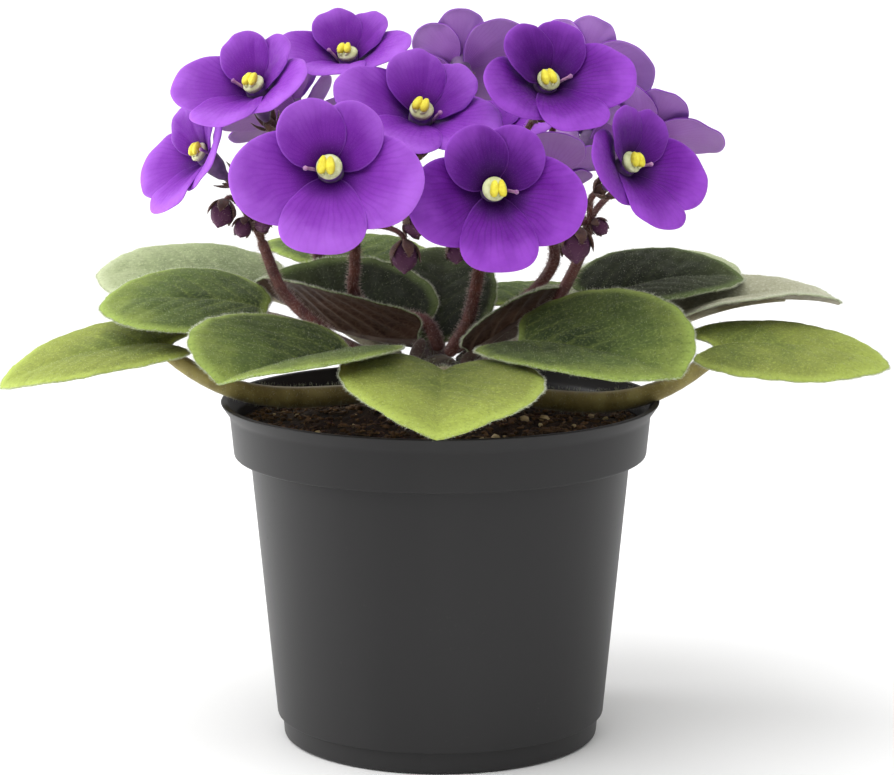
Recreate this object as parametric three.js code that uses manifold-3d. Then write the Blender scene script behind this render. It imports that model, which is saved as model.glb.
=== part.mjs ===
// A potted African violet: a nursery pot, its soil, and a rosette of leaves and flower sprays.
// Millimetres, +Z up. The origin is on the pot's axis, in the plane that the pot stands on.
// A direction is an azimuth from +X towards +Y and an elevation above level, both in degrees.

import * as THREE from 'three';
import { mergeVertices } from 'three/addons/utils/BufferGeometryUtils.js';
import Module from 'manifold-3d';

const wasm = await Module();
wasm.setup();

// Pot: outer radii and heights, from the foot up.
const POT = {
  footRadius: 39.6,
  footHeight: 5.5,
  footStep: 0.5,
  bodyRadiusLow: 41.3,
  bodyRadiusHigh: 47.6,
  bandBottom: 71.7,
  bandRadiusLow: 51.6,
  bandRadiusHigh: 52.6,
  lipBottom: 81.9,
  lipRadius: 55.0,
  height: 85.4,
  wall: 1.8,
  floorUnderside: 4.5,
  floorTop: 6.6,
  segments: 36,
};
const FOOT_NOTCH = { count: 3, turn: 3, width: 13, height: 4.2, corner: 1.4, depth: 10 };
const FLOOR_HOLE = { count: 6, radius: 4.2, circle: 29, sides: 8, depth: 10 };

// Soil: a mounded fill inside the pot, with crumbs standing up from its surface.
const SOIL = {
  wallGap: 0.3,
  floorGap: 0.3,
  edgeHeight: 79.6,
  centreHeight: 82.8,
  shoulderRise: 0.4,
  crumb: 0.9,
  crumbTurns: [7, 5],
  crumbWaves: [9, 13],
  rings: [9, 18, 36],
  reaches: [0.36, 0.7, 1],
};

// Crown: the short stem that every petiole and flower stalk grows from.
const CROWN = {
  radius: 5.2, waistRadius: 4.9, footRadius: 2.9, topRadius: 3.1,
  bottom: 72, waist: 84, shoulder: 93.5, collar: 95.8, top: 96.8, sides: 10,
};
const GAP = 0.3;

// Leaf blades: one thin sheet with scalloped edges, its outline drawn around the blade's middle.
const BLADE = {
  thickness: 0.8,
  rings: [9, 36],
  reaches: [0.55, 1],
  teeth: 18,
  toothDepth: 0.028,
  notchWidth: 0.3,
  tipWidth: 0.32,
};
const PETIOLE = { sides: 5, steps: 5, rootShare: 0.7, bend: 0.35, ribStops: [0.15, 0.4, 0.72], ribTip: 0.45 };

// Each leaf: base is where the petiole meets the blade. Pitch is the blade's rise at its base and
// droop how far it turns down by its tip; roll lifts the left side, seen along the leaf. The sides
// leave the midrib at the cup angle and turn by curl on the way to the edge. lobe and tip are the
// shares of the length that the base lobes reach back and the point stands out. A petiole with a
// sag lies low over the pot's rim before it climbs to its blade.
const LEAVES = [
  {
    name: 'leaf_far_left', base: [-67, -6, 100.5], azimuth: 181, pitch: -1, droop: 25, roll: -10,
    length: 42, width: 40, cup: 10, curl: -14, lobe: 0.26, tip: 0.05, petiole: 2.9,
    root: [172, 87], rise: 2, sag: 18, tone: 'outer',
  },
  {
    name: 'leaf_left', base: [-43, -1, 108.3], azimuth: 179, pitch: 14, droop: 26, roll: -13,
    length: 41, width: 44, cup: 4, curl: -8, lobe: 0.04, tip: 0.03, petiole: 2.0,
    root: [184, 90.5], rise: 26, tone: 'inner',
  },
  {
    name: 'leaf_left_behind', base: [-43, 24, 110], azimuth: 170, pitch: 11, droop: 14, roll: -19,
    length: 45, width: 42, cup: 6, curl: -18, lobe: 0.1, tip: 0.04, petiole: 2.2,
    root: [148, 91], rise: 25, tone: 'pale',
  },
  {
    name: 'leaf_front_left', base: [-20.5, -26, 102], azimuth: 229, pitch: 2, droop: 8, roll: -5,
    length: 46, width: 52, cup: 20, curl: -11, lobe: 0.1, tip: 0, petiole: 2.2,
    root: [228, 86], rise: 14, tone: 'inner',
  },
  {
    name: 'leaf_front', base: [1, -38, 100], azimuth: 268, pitch: -3, droop: 13, roll: -4,
    length: 44, width: 48, cup: 12, curl: -10, lobe: 0.18, tip: 0.07, petiole: 2.3,
    root: [270, 86], rise: 18, tone: 'outer',
  },
  {
    name: 'leaf_front_right', base: [18.5, -20, 103.5], azimuth: 324, pitch: 3, droop: 16, roll: 15,
    length: 47, width: 49, cup: 14, curl: 0, lobe: 0.16, tip: 0, petiole: 2.3,
    root: [315, 86], rise: 20, tone: 'inner',
  },
  {
    name: 'leaf_far_right', base: [68, -4, 100], azimuth: -2, pitch: 5, droop: 22, roll: 11,
    length: 42, width: 43, cup: 5, curl: -18, lobe: 0.24, tip: 0.05, petiole: 2.9,
    root: [358, 87], rise: 2, sag: 18, tone: 'outer',
  },
  {
    name: 'leaf_right', base: [56, 12, 103], azimuth: 12, pitch: 20, droop: 30, roll: 2,
    length: 46, width: 33, cup: 20, curl: -12, lobe: 0.1, tip: 0.04, petiole: 2.3,
    root: [16, 91.5], rise: 12, tone: 'pale',
  },
  {
    name: 'leaf_right_upper', base: [38, 14, 109], azimuth: 13, pitch: 16, droop: 20, roll: 10,
    length: 39, width: 41, cup: 13, curl: -10, lobe: 0.12, tip: 0.05, petiole: 2.0,
    root: [36, 94.5], rise: 30, tone: 'inner',
  },
  {
    name: 'leaf_right_behind', base: [39, 30, 106], azimuth: 36, pitch: 14, droop: 11, roll: 14,
    length: 46, width: 41, cup: 5, curl: -19, lobe: 0.1, tip: 0.04, petiole: 2.2,
    root: [52, 88], rise: 20, tone: 'pale',
  },
  {
    name: 'leaf_inner_left', base: [-5.5, 1.6, 101], azimuth: 157, pitch: -6, droop: -38, roll: -8,
    length: 45, width: 41, cup: 49, curl: -6, lobe: 0.2, tip: 0.04, petiole: 1.8,
    root: [190, 95], rise: 20, tone: 'inner',
  },
  {
    name: 'leaf_inner_right', base: [6.9, -3.5, 98.6], azimuth: -1, pitch: 32, droop: -2, roll: -8,
    length: 27, width: 30, cup: 24, curl: -10, lobe: 0.06, tip: 0.04, petiole: 1.8,
    root: [335, 94], rise: 30, tone: 'inner',
  },
  {
    name: 'leaf_back_left', base: [-16, 39, 113], azimuth: 116, pitch: 14, droop: 20, roll: 0,
    length: 46, width: 42, cup: 6, curl: -12, lobe: 0.1, tip: 0.04, petiole: 2.2,
    root: [115, 93], rise: 28, tone: 'pale',
  },
  {
    name: 'leaf_back', base: [-6, 38, 106], azimuth: 100, pitch: 8, droop: 20, roll: 0,
    length: 45, width: 44, cup: 6, curl: -14, lobe: 0.12, tip: 0.05, petiole: 2.3,
    root: [100, 85], rise: 18, tone: 'outer',
  },
  {
    name: 'leaf_back_right', base: [20, 36, 104], azimuth: 64, pitch: 8, droop: 20, roll: 0,
    length: 46, width: 42, cup: 6, curl: -14, lobe: 0.12, tip: 0.05, petiole: 2.3,
    root: [70, 85], rise: 18, tone: 'outer',
  },
  {
    name: 'leaf_inner_back', base: [0, 10.5, 98.5], azimuth: 88, pitch: 38, droop: 16, roll: 0,
    length: 38, width: 28, cup: 12, curl: -10, lobe: 0.08, tip: 0.04, petiole: 1.8,
    root: [90, 93], rise: 35, tone: 'inner',
  },
];

// Flowers: two small upper lobes over three large lower ones, on a short tube.
const PETAL = { thickness: 0.6, rings: [10], reaches: [1], rootRadius: 1.4, taper: 0.16 };
const BOWL = { extraLean: 10, turn: 26, reach: 21 };
const LOBES = [
  { turn: -108, length: 21, width: 18.5, layer: 0 },
  { turn: 108, length: 21, width: 18.5, layer: 0 },
  { turn: 180, length: 19, width: 20.5, layer: 0.9 },
  { turn: 27, length: 16.5, width: 16, layer: 1.8 },
  { turn: -27, length: 16.5, width: 16, layer: 2.7 },
];
const TUBE = { backRadius: 1.1, back: -4.3, shoulder: -0.6, radius: 2.7, front: 5.4, sides: 5 };
const STYLE = { radius: 0.42, start: 2.4, side: 3, lean: 2.6, reach: 6.2 };
const STAMEN = {
  bossRadius: 2.1, bossDepth: 1.5, neckRadius: 1.4,
  antherRadii: [1.5, 2.1, 1.3], antherSpread: 1.6, antherLift: 0.5, antherRise: 0.4,
};
const CALYX = { back: -8.2, centre: -5.6, tip: -2.8, tipRadius: 3.8, valley: -6.0, valleyRadius: 1.6 };

// Each flower: centre of the throat, the way it faces, its roll clockwise as its face is seen, its
// size, and how far the upper and lower lobes lean forward of a flat face.
const FLOWERS = [
  { at: [-43, -25, 160.5], face: [-122, 48], roll: -1, size: 0.98, upper: 38, lower: 33, spray: 0 },
  { at: [-22, -6.5, 166.5], face: [-106, 56], roll: -2, size: 0.93, upper: 33, lower: 38, spray: 1 },
  { at: [-54.5, -20, 145], face: [-151, 31], roll: -15, size: 0.91, upper: 40, lower: 28, spray: 0 },
  { at: [-25, -50, 144.5], face: [-94, 22], roll: 2, size: 1.13, upper: 26, lower: 32, spray: 1 },
  { at: [-5.5, -25, 154], face: [-84, 48], roll: 24, size: 1.08, upper: 32, lower: 35, spray: 2 },
  { at: [12, -45, 140], face: [-83, 13], roll: 0, size: 1.06, upper: 22, lower: 36, spray: 2 },
  { at: [25, -20, 161.5], face: [-71, 35], roll: -8, size: 1.05, upper: 32, lower: 40, spray: 2 },
  { at: [42.5, -25, 143], face: [-45, 28], roll: 10, size: 1.0, upper: 40, lower: 32, spray: 3 },
  { at: [6, 22, 164.5], face: [92, 30], roll: 30, size: 0.9, upper: 28, lower: 30, spray: 4 },
  { at: [34, 17, 163], face: [70, 26], roll: 4, size: 0.92, upper: 28, lower: 30, spray: 4 },
  { at: [50.5, 7, 148], face: [50, 50], roll: -20, size: 0.93, upper: 28, lower: 30, spray: 3 },
  { at: [-36, 14, 154], face: [140, 40], roll: 0, size: 0.95, upper: 28, lower: 30, spray: 5 },
  { at: [11, 2, 148], face: [-90, 70], roll: 0, size: 0.85, upper: 28, lower: 30, spray: 4 },
  { at: [27, -2, 139], face: [80, 60], roll: 90, size: 0.8, upper: 28, lower: 30, spray: 3 },
  { at: [38, 38, 144], face: [50, 34], roll: 0, size: 0.95, upper: 28, lower: 30, spray: 4 },
  { at: [-14, 36, 148], face: [110, 34], roll: 0, size: 0.95, upper: 28, lower: 30, spray: 5 },
];

// Sprays: a stalk as a smooth line through its points, from the crown to where it branches.
const STALK = { radius: 1.6, tipRadius: 1.3, sides: 5, steps: 6 };
const PEDICEL = { radius: 0.8, sides: 3, steps: 4, sink: 1, bend: 0.35 };
const BUD = {
  sides: 5,
  stations: [[-1, 0.4], [-0.3, 1], [0.5, 0.9], [1.3, 0.15]],
  calyxWidth: 0.33,
  calyxDepth: 0.23,
  calyxBack: -0.9,
  stem: -1.2,
};
const SPRAYS = [
  {
    name: 'spray_left',
    path: [[-4.9, -3.3, 92], [-21.8, -9.5, 99], [-29, -11, 104.6], [-38.4, -9.5, 113.6], [-43.6, -8, 125.5]],
  },
  {
    name: 'spray_front_left',
    path: [
      [-0.5, 0.8, 98.4], [-2.6, 0.8, 103.4], [-6, 1.9, 105.4], [-18, 5, 107.2], [-21.5, -1, 112.5],
      [-21, -7, 120], [-20.7, -14, 129],
    ],
  },
  {
    name: 'spray_middle',
    path: [[2.5, -4.5, 98], [6.5, -8, 105.5], [8.2, -10, 112], [9.5, -15, 121], [9.8, -20, 130]],
  },
  {
    name: 'spray_right',
    path: [[5, -4, 91], [18, -9, 98], [25.8, -7.6, 106], [34, -6, 121], [36.5, -10, 131]],
  },
  {
    name: 'spray_back_right',
    path: [[4, 4.5, 97.5], [15.5, 14, 104], [23, 16, 109.5], [28.4, 15, 117], [28.5, 13, 124], [26, 13, 138]],
  },
  {
    name: 'spray_back_left',
    path: [[-4.2, 6, 85], [-14, 17, 97], [-25, 29, 104], [-31, 31, 115], [-31, 28, 123], [-27, 20, 138]],
  },
];

// Buds: middle of the bud, the way its tip points, its radius, and the spray that carries it. The
// stations are places along a bud and its radii there, both as shares of its radius.
const BUDS = [
  { at: [-53, -14, 133.5], tip: [-110, -50], radius: 2.9, spray: 0 },
  { at: [-48, -14, 130], tip: [-100, -40], radius: 2.2, spray: 0 },
  { at: [-43, -16, 131], tip: [-90, -20], radius: 1.9, spray: 0 },
  { at: [-8.5, -22, 124], tip: [-90, -60], radius: 3.2, spray: 1 },
  { at: [-6, -20, 131], tip: [-60, -20], radius: 2.6, spray: 1 },
  { at: [4, -14, 124], tip: [-90, -50], radius: 2.4, spray: 2 },
  { at: [33, -16, 126], tip: [-90, -55], radius: 3.6, spray: 3 },
  { at: [39, -12, 130], tip: [-50, -30], radius: 2.0, spray: 3 },
];

const radians = THREE.MathUtils.degToRad;

function finish(colour, roughness) {
  return new THREE.MeshStandardMaterial({ color: colour, roughness, metalness: 0 });
}

const MATERIALS = {
  pot: finish(0x45484b, 0.55),
  soil: finish(0x2a1c12, 0.95),
  crown: finish(0x6b7a3a, 0.8),
  outer: finish(0x8ea63a, 0.8),
  inner: finish(0x47682f, 0.8),
  pale: finish(0x93a27c, 0.85),
  corolla: finish(0x5e27a8, 0.6),
  stamens: finish(0xf0d23c, 0.6),
  spray: finish(0x6b3a34, 0.8),
};

// ---- Geometry helpers ----

function solidFrom(geometry) {
  const bare = geometry.clone();
  bare.deleteAttribute('normal');
  bare.deleteAttribute('uv');
  const merged = mergeVertices(bare, 1e-4);
  return new wasm.Manifold(new wasm.Mesh({
    numProp: 3,
    vertProperties: new Float32Array(merged.attributes.position.array),
    triVerts: new Uint32Array(merged.index.array),
  }));
}

function solidOf(points, triangles) {
  const geometry = new THREE.BufferGeometry();
  geometry.setAttribute('position', new THREE.Float32BufferAttribute(points.flatMap((p) => p.toArray()), 3));
  geometry.setIndex(triangles.flat());
  return solidFrom(geometry);
}

function meshOf(name, solid, material) {
  const { vertProperties, triVerts } = solid.getMesh();
  const geometry = new THREE.BufferGeometry();
  geometry.setAttribute('position', new THREE.BufferAttribute(Float32Array.from(vertProperties), 3));
  geometry.setIndex(new THREE.BufferAttribute(Uint32Array.from(triVerts), 1));
  geometry.computeVertexNormals();
  const mesh = new THREE.Mesh(geometry, material);
  mesh.name = name;
  return mesh;
}

function joined(solids) {
  return solids.reduce((whole, solid) => whole.add(solid));
}

function direction(azimuth, elevation) {
  const [turn, lift] = [radians(azimuth), radians(elevation)];
  return new THREE.Vector3(
    Math.cos(lift) * Math.cos(turn),
    Math.cos(lift) * Math.sin(turn),
    Math.sin(lift),
  );
}

// Where an arc of this length ends, seen from its start, and the slope that it ends at.
function arc(length, slope, turnPerLength) {
  const end = slope + turnPerLength * length;
  if (Math.abs(turnPerLength) < 1e-6) {
    return { run: length * Math.cos(slope), rise: length * Math.sin(slope), end };
  }
  return {
    run: (Math.sin(end) - Math.sin(slope)) / turnPerLength,
    rise: (Math.cos(slope) - Math.cos(end)) / turnPerLength,
    end,
  };
}

// Triangles between one ring of corners and the next ring out, which has a whole multiple of them.
function stitch(inner, outer) {
  const ratio = outer.length / inner.length;
  const middle = Math.ceil(ratio / 2);
  const triangles = [];
  inner.forEach((corner, i) => {
    const next = inner[(i + 1) % inner.length];
    for (let j = 0; j < ratio; j += 1) {
      const near = outer[i * ratio + j];
      const far = outer[(i * ratio + j + 1) % outer.length];
      triangles.push([j < middle ? corner : next, near, far]);
    }
    triangles.push([corner, outer[i * ratio + middle], next]);
  });
  return triangles;
}

// A sheet over rings of corners round one middle point. surface(angle, reach) gives its points.
function ringSheet(rings, reaches, surface) {
  const points = [surface(0, 0)];
  const corners = rings.map((count, ring) => Array.from({ length: count }, (_, i) => {
    points.push(surface((i / count) * 2 * Math.PI, reaches[ring]));
    return points.length - 1;
  }));
  const triangles = corners[0].map((corner, i) => [0, corner, corners[0][(i + 1) % rings[0]]]);
  for (let ring = 1; ring < rings.length; ring += 1) {
    triangles.push(...stitch(corners[ring - 1], corners[ring]));
  }
  return { points, triangles, edge: corners[rings.length - 1] };
}

function sheetNormals({ points, triangles }) {
  const normals = points.map(() => new THREE.Vector3());
  triangles.forEach(([a, b, c]) => {
    const ab = points[b].clone().sub(points[a]);
    const ac = points[c].clone().sub(points[a]);
    const face = ab.cross(ac);
    [a, b, c].forEach((corner) => normals[corner].add(face));
  });
  return normals.map((normal) => normal.normalize());
}

// A closed blade: the sheet moved half its thickness to each side, alike on both faces.
function blade(sheet, thickness) {
  const count = sheet.points.length;
  const normals = sheetNormals(sheet);
  const shifted = (side) => sheet.points.map(
    (point, i) => point.clone().addScaledVector(normals[i], (side * thickness) / 2),
  );
  const faces = sheet.triangles.flatMap(([a, b, c]) => [
    [a, b, c],
    [a + count, c + count, b + count],
  ]);
  const rim = sheet.edge.flatMap((a, i) => {
    const b = sheet.edge[(i + 1) % sheet.edge.length];
    return [[b, a, a + count], [b, a + count, b + count]];
  });
  return solidOf([...shifted(1), ...shifted(-1)], [...faces, ...rim]);
}

// A closed rod of changing radius along a line of points.
function rod(points, radii, sides) {
  const corners = [];
  const side = new THREE.Vector3();
  points.forEach((point, i) => {
    const ahead = points[Math.min(i + 1, points.length - 1)];
    const behind = points[Math.max(i - 1, 0)];
    const along = ahead.clone().sub(behind).normalize();
    if (i === 0) {
      side.set(0, 0, 1).addScaledVector(along, -along.z);
      if (side.lengthSq() < 0.01) side.set(1, 0, 0).addScaledVector(along, -along.x);
    } else {
      side.addScaledVector(along, -side.dot(along));
    }
    side.normalize();
    const across = along.clone().cross(side);
    for (let k = 0; k < sides; k += 1) {
      const turn = (k / sides) * 2 * Math.PI;
      corners.push(point.clone()
        .addScaledVector(side, radii[i] * Math.cos(turn))
        .addScaledVector(across, radii[i] * Math.sin(turn)));
    }
  });
  const triangles = [];
  for (let i = 1; i < points.length; i += 1) {
    for (let k = 0; k < sides; k += 1) {
      const [a, b] = [(i - 1) * sides + k, (i - 1) * sides + ((k + 1) % sides)];
      triangles.push([a, b, b + sides], [a, b + sides, a + sides]);
    }
  }
  const last = (points.length - 1) * sides;
  for (let k = 1; k < sides - 1; k += 1) {
    triangles.push([0, k + 1, k], [last, last + k, last + k + 1]);
  }
  return solidOf(corners, triangles);
}

function lathe(profile, segments) {
  const outline = profile.map(([radius, height]) => new THREE.Vector2(radius, height));
  const geometry = new THREE.LatheGeometry(outline, segments);
  geometry.rotateX(Math.PI / 2);
  return solidFrom(geometry);
}

// ---- Pot, soil and crown ----

function potShell() {
  const inner = (radius) => radius - POT.wall;
  return lathe([
    [0, POT.floorUnderside],
    [inner(POT.footRadius), POT.floorUnderside],
    [inner(POT.footRadius), 0],
    [POT.footRadius, 0],
    [POT.footRadius + POT.footStep, POT.footHeight],
    [POT.bodyRadiusLow, POT.footHeight],
    [POT.bodyRadiusHigh, POT.bandBottom],
    [POT.bandRadiusLow, POT.bandBottom],
    [POT.bandRadiusHigh, POT.lipBottom],
    [POT.lipRadius, POT.height],
    [POT.lipRadius - POT.wall, POT.height],
    [inner(POT.bandRadiusHigh), POT.lipBottom],
    [inner(POT.bandRadiusLow), POT.bandBottom + POT.wall],
    [inner(POT.bodyRadiusHigh), POT.bandBottom],
    [inner(POT.bodyRadiusLow), POT.floorTop],
    [0, POT.floorTop],
  ], POT.segments);
}

function roundedNotch() {
  const { width, height, corner } = FOOT_NOTCH;
  const outline = new THREE.Shape();
  outline.moveTo(-width / 2, -1);
  outline.lineTo(width / 2, -1);
  outline.lineTo(width / 2, height - corner);
  outline.quadraticCurveTo(width / 2, height, width / 2 - corner, height);
  outline.lineTo(-width / 2 + corner, height);
  outline.quadraticCurveTo(-width / 2, height, -width / 2, height - corner);
  const geometry = new THREE.ExtrudeGeometry(outline, {
    depth: FOOT_NOTCH.depth,
    bevelEnabled: false,
    curveSegments: 2,
  });
  geometry.rotateX(Math.PI / 2);
  geometry.translate(0, -POT.footRadius + FOOT_NOTCH.depth / 2, 0);
  return geometry;
}

function makePot() {
  let pot = potShell();
  for (let i = 0; i < FOOT_NOTCH.count; i += 1) {
    const notch = roundedNotch();
    notch.rotateZ(radians(FOOT_NOTCH.turn + (360 * i) / FOOT_NOTCH.count));
    pot = pot.subtract(solidFrom(notch));
  }
  for (let i = 0; i < FLOOR_HOLE.count; i += 1) {
    const turn = ((i + 0.5) / FLOOR_HOLE.count) * 2 * Math.PI;
    const { radius, circle, depth, sides } = FLOOR_HOLE;
    const hole = new THREE.CylinderGeometry(radius, radius, depth, sides);
    hole.rotateX(Math.PI / 2);
    hole.translate(circle * Math.cos(turn), circle * Math.sin(turn), depth / 2);
    pot = pot.subtract(solidFrom(hole));
  }
  return pot;
}

function soilSurface(radius) {
  const height = (angle, reach) => {
    const mound = (1 + Math.cos(Math.PI * reach)) / 2;
    const crumbs = Math.sin(SOIL.crumbTurns[0] * angle + SOIL.crumbWaves[0] * reach)
      * Math.cos(SOIL.crumbTurns[1] * angle - SOIL.crumbWaves[1] * reach);
    const rise = SOIL.centreHeight - SOIL.edgeHeight;
    return SOIL.edgeHeight + rise * mound + SOIL.crumb * crumbs * Math.sin(Math.PI * reach);
  };
  return (angle, reach) => new THREE.Vector3(
    radius * reach * Math.cos(angle),
    radius * reach * Math.sin(angle),
    height(angle, reach),
  );
}

function makeSoil(crown) {
  const inner = (outer) => outer - POT.wall - SOIL.wallGap;
  const flare = (SOIL.edgeHeight - POT.bandBottom) / (POT.lipBottom - POT.bandBottom);
  const topRadius = inner(THREE.MathUtils.lerp(POT.bandRadiusLow, POT.bandRadiusHigh, flare));
  const top = ringSheet(SOIL.rings, SOIL.reaches, soilSurface(topRadius));
  const points = [...top.points];
  const triangles = [...top.triangles];
  const levels = [
    [inner(POT.bandRadiusLow), POT.bandBottom + POT.wall + SOIL.shoulderRise],
    [inner(POT.bodyRadiusHigh), POT.bandBottom],
    [inner(POT.bodyRadiusLow), POT.floorTop + SOIL.floorGap],
  ];
  let upper = top.edge;
  levels.forEach(([radius, height]) => {
    const lower = upper.map((_, i) => {
      const angle = (i / upper.length) * 2 * Math.PI;
      points.push(new THREE.Vector3(radius * Math.cos(angle), radius * Math.sin(angle), height));
      return points.length - 1;
    });
    upper.forEach((a, i) => {
      const b = upper[(i + 1) % upper.length];
      const [c, d] = [lower[i], lower[(i + 1) % lower.length]];
      triangles.push([a, c, b], [b, c, d]);
    });
    upper = lower;
  });
  points.push(new THREE.Vector3(0, 0, POT.floorTop + SOIL.floorGap));
  const bottom = points.length - 1;
  upper.forEach((a, i) => triangles.push([bottom, upper[(i + 1) % upper.length], a]));
  return solidOf(points, triangles).subtract(crown);
}

function crownSolid(clearance) {
  return lathe([
    [0, CROWN.bottom - clearance],
    [CROWN.footRadius + clearance, CROWN.bottom - clearance],
    [CROWN.waistRadius + clearance, CROWN.waist],
    [CROWN.radius + clearance, CROWN.shoulder],
    [CROWN.topRadius + clearance, CROWN.collar],
    [0, CROWN.top],
  ], CROWN.sides);
}

// ---- Leaves ----

function leafOutline(leaf, angle) {
  const halfLength = (leaf.length * (1 + leaf.lobe)) / 2;
  const halfWidth = leaf.width / 2;
  const oval = (halfLength * halfWidth)
    / Math.hypot(halfWidth * Math.cos(angle), halfLength * Math.sin(angle));
  const fromTip = Math.min(angle, 2 * Math.PI - angle);
  const fromNotch = Math.abs(angle - Math.PI);
  const point = leaf.length * leaf.tip * Math.exp(-((fromTip / BLADE.tipWidth) ** 2));
  const notch = leaf.length * leaf.lobe * Math.exp(-((fromNotch / BLADE.notchWidth) ** 2));
  const scallop = 1 - BLADE.toothDepth * (1 - Math.abs(Math.cos((BLADE.teeth * angle) / 2)));
  return (oval + point - notch) * scallop;
}

// The blade's middle surface, along and across the midrib, measured from the petiole's end.
function bladePoint(leaf, along, across) {
  const rib = arc(along, radians(leaf.pitch), -radians(leaf.droop) / leaf.length);
  const section = arc(Math.abs(across), radians(leaf.cup), radians(leaf.curl) / (leaf.width / 2));
  const forward = direction(leaf.azimuth, 0);
  const side = direction(leaf.azimuth + 90, 0);
  const up = new THREE.Vector3(0, 0, 1);
  const ahead = forward.clone().multiplyScalar(Math.cos(rib.end)).addScaledVector(up, Math.sin(rib.end));
  const normal = ahead.clone().cross(side);
  side.applyAxisAngle(ahead, radians(leaf.roll));
  normal.applyAxisAngle(ahead, radians(leaf.roll));
  return {
    point: new THREE.Vector3(...leaf.base)
      .addScaledVector(forward, rib.run)
      .addScaledVector(up, rib.rise)
      .addScaledVector(side, Math.sign(across) * section.run)
      .addScaledVector(normal, section.rise),
    ahead,
    normal,
  };
}

function leafSheet(leaf) {
  const middle = (leaf.length * (1 - leaf.lobe)) / 2;
  return ringSheet(BLADE.rings, BLADE.reaches, (angle, reach) => {
    const radius = reach * leafOutline(leaf, angle);
    return bladePoint(leaf, middle + radius * Math.cos(angle), radius * Math.sin(angle)).point;
  });
}

// The petiole rises from the crown to the blade and runs on as the rib under it.
function petioleRod(leaf) {
  const [rootTurn, rootHeight] = leaf.root;
  const atBase = bladePoint(leaf, 0, 0);
  const base = atBase.point.clone().addScaledVector(atBase.normal, -leaf.petiole);
  const outward = direction(rootTurn, 0);
  const tilt = PETIOLE.rootShare * leaf.petiole * Math.sin(radians(leaf.rise));
  const root = outward.clone().multiplyScalar(CROWN.radius + GAP + tilt).setZ(rootHeight);
  const span = root.distanceTo(base);
  const arrive = base.clone().addScaledVector(atBase.ahead, -span * PETIOLE.bend);
  arrive.z -= leaf.sag ?? 0;
  const route = new THREE.CubicBezierCurve3(
    root,
    root.clone().addScaledVector(direction(rootTurn, leaf.rise), span * PETIOLE.bend),
    arrive,
    base,
  );
  const points = route.getPoints(PETIOLE.steps);
  const radii = points.map((_, i) => leaf.petiole * THREE.MathUtils.lerp(
    PETIOLE.rootShare,
    1,
    Math.sin((i / PETIOLE.steps) * Math.PI),
  ));
  PETIOLE.ribStops.forEach((share, i) => {
    const taper = (i + 1) / PETIOLE.ribStops.length;
    const radius = THREE.MathUtils.lerp(leaf.petiole * PETIOLE.rootShare, PETIOLE.ribTip, taper);
    const rib = bladePoint(leaf, share * leaf.length, 0);
    points.push(rib.point.addScaledVector(rib.normal, -radius));
    radii.push(radius);
  });
  return rod(points, radii, PETIOLE.sides);
}

function makeLeaf(leaf) {
  return blade(leafSheet(leaf), BLADE.thickness).add(petioleRod(leaf));
}

// ---- Flowers ----

// The flower's own axes: out of its face, up its face, and to the right as its face is seen.
function flowerFrame(flower) {
  const out = direction(...flower.face);
  const up = new THREE.Vector3(0, 0, 1).addScaledVector(out, -out.z).normalize();
  up.applyAxisAngle(out, -radians(flower.roll));
  return { middle: new THREE.Vector3(...flower.at), out, up, right: up.clone().cross(out) };
}

function inFlower(flower, right, up, out) {
  const frame = flowerFrame(flower);
  return frame.middle
    .addScaledVector(frame.right, right * flower.size)
    .addScaledVector(frame.up, up * flower.size)
    .addScaledVector(frame.out, out * flower.size);
}

// A point of a lobe. All five lobes lie on one shallow bowl, each in its own layer, so that they
// overlap without crossing. The bowl is as steep as the upper lean at its top, the lower at its foot.
function lobePoint(flower, lobe, along, across) {
  const turn = radians(lobe.turn) + Math.atan2(across, along);
  const share = (1 + Math.cos(turn)) / 2;
  const lean = radians(THREE.MathUtils.lerp(flower.lower, flower.upper, share) + BOWL.extraLean);
  const bowl = arc(Math.hypot(along, across), lean, -radians(BOWL.turn) / BOWL.reach);
  return inFlower(flower, bowl.run * Math.sin(turn), bowl.run * Math.cos(turn), bowl.rise + lobe.layer);
}

function lobeSheet(flower, lobe) {
  const half = lobe.length / 2;
  return ringSheet(PETAL.rings, PETAL.reaches, (angle, reach) => lobePoint(
    flower,
    lobe,
    PETAL.rootRadius + half + half * reach * Math.cos(angle),
    -(lobe.width / 2) * reach * Math.sin(angle) * (1 - PETAL.taper * (1 - Math.cos(angle))),
  ));
}

function flowerRod(flower, stations, sides) {
  const points = stations.map(([right, up, out]) => inFlower(flower, right, up, out));
  return rod(points, stations.map(([, , , radius]) => radius * flower.size), sides);
}

function makeCorolla(flower, index) {
  const tube = flowerRod(flower, [
    [0, 0, TUBE.back, TUBE.backRadius],
    [0, 0, TUBE.shoulder, TUBE.radius],
    [0, 0, TUBE.front, TUBE.radius],
  ], TUBE.sides);
  const styleSide = index % 2 === 0 ? -1 : 1;
  const style = flowerRod(flower, [
    [styleSide * STYLE.side, 0, STYLE.start, STYLE.radius],
    [styleSide * (STYLE.side + STYLE.lean), 0, STYLE.start + STYLE.reach, STYLE.radius],
  ], 4);
  const lobes = LOBES.map((lobe) => blade(lobeSheet(flower, lobe), PETAL.thickness));
  return joined([tube, style, ...lobes]);
}

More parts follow.
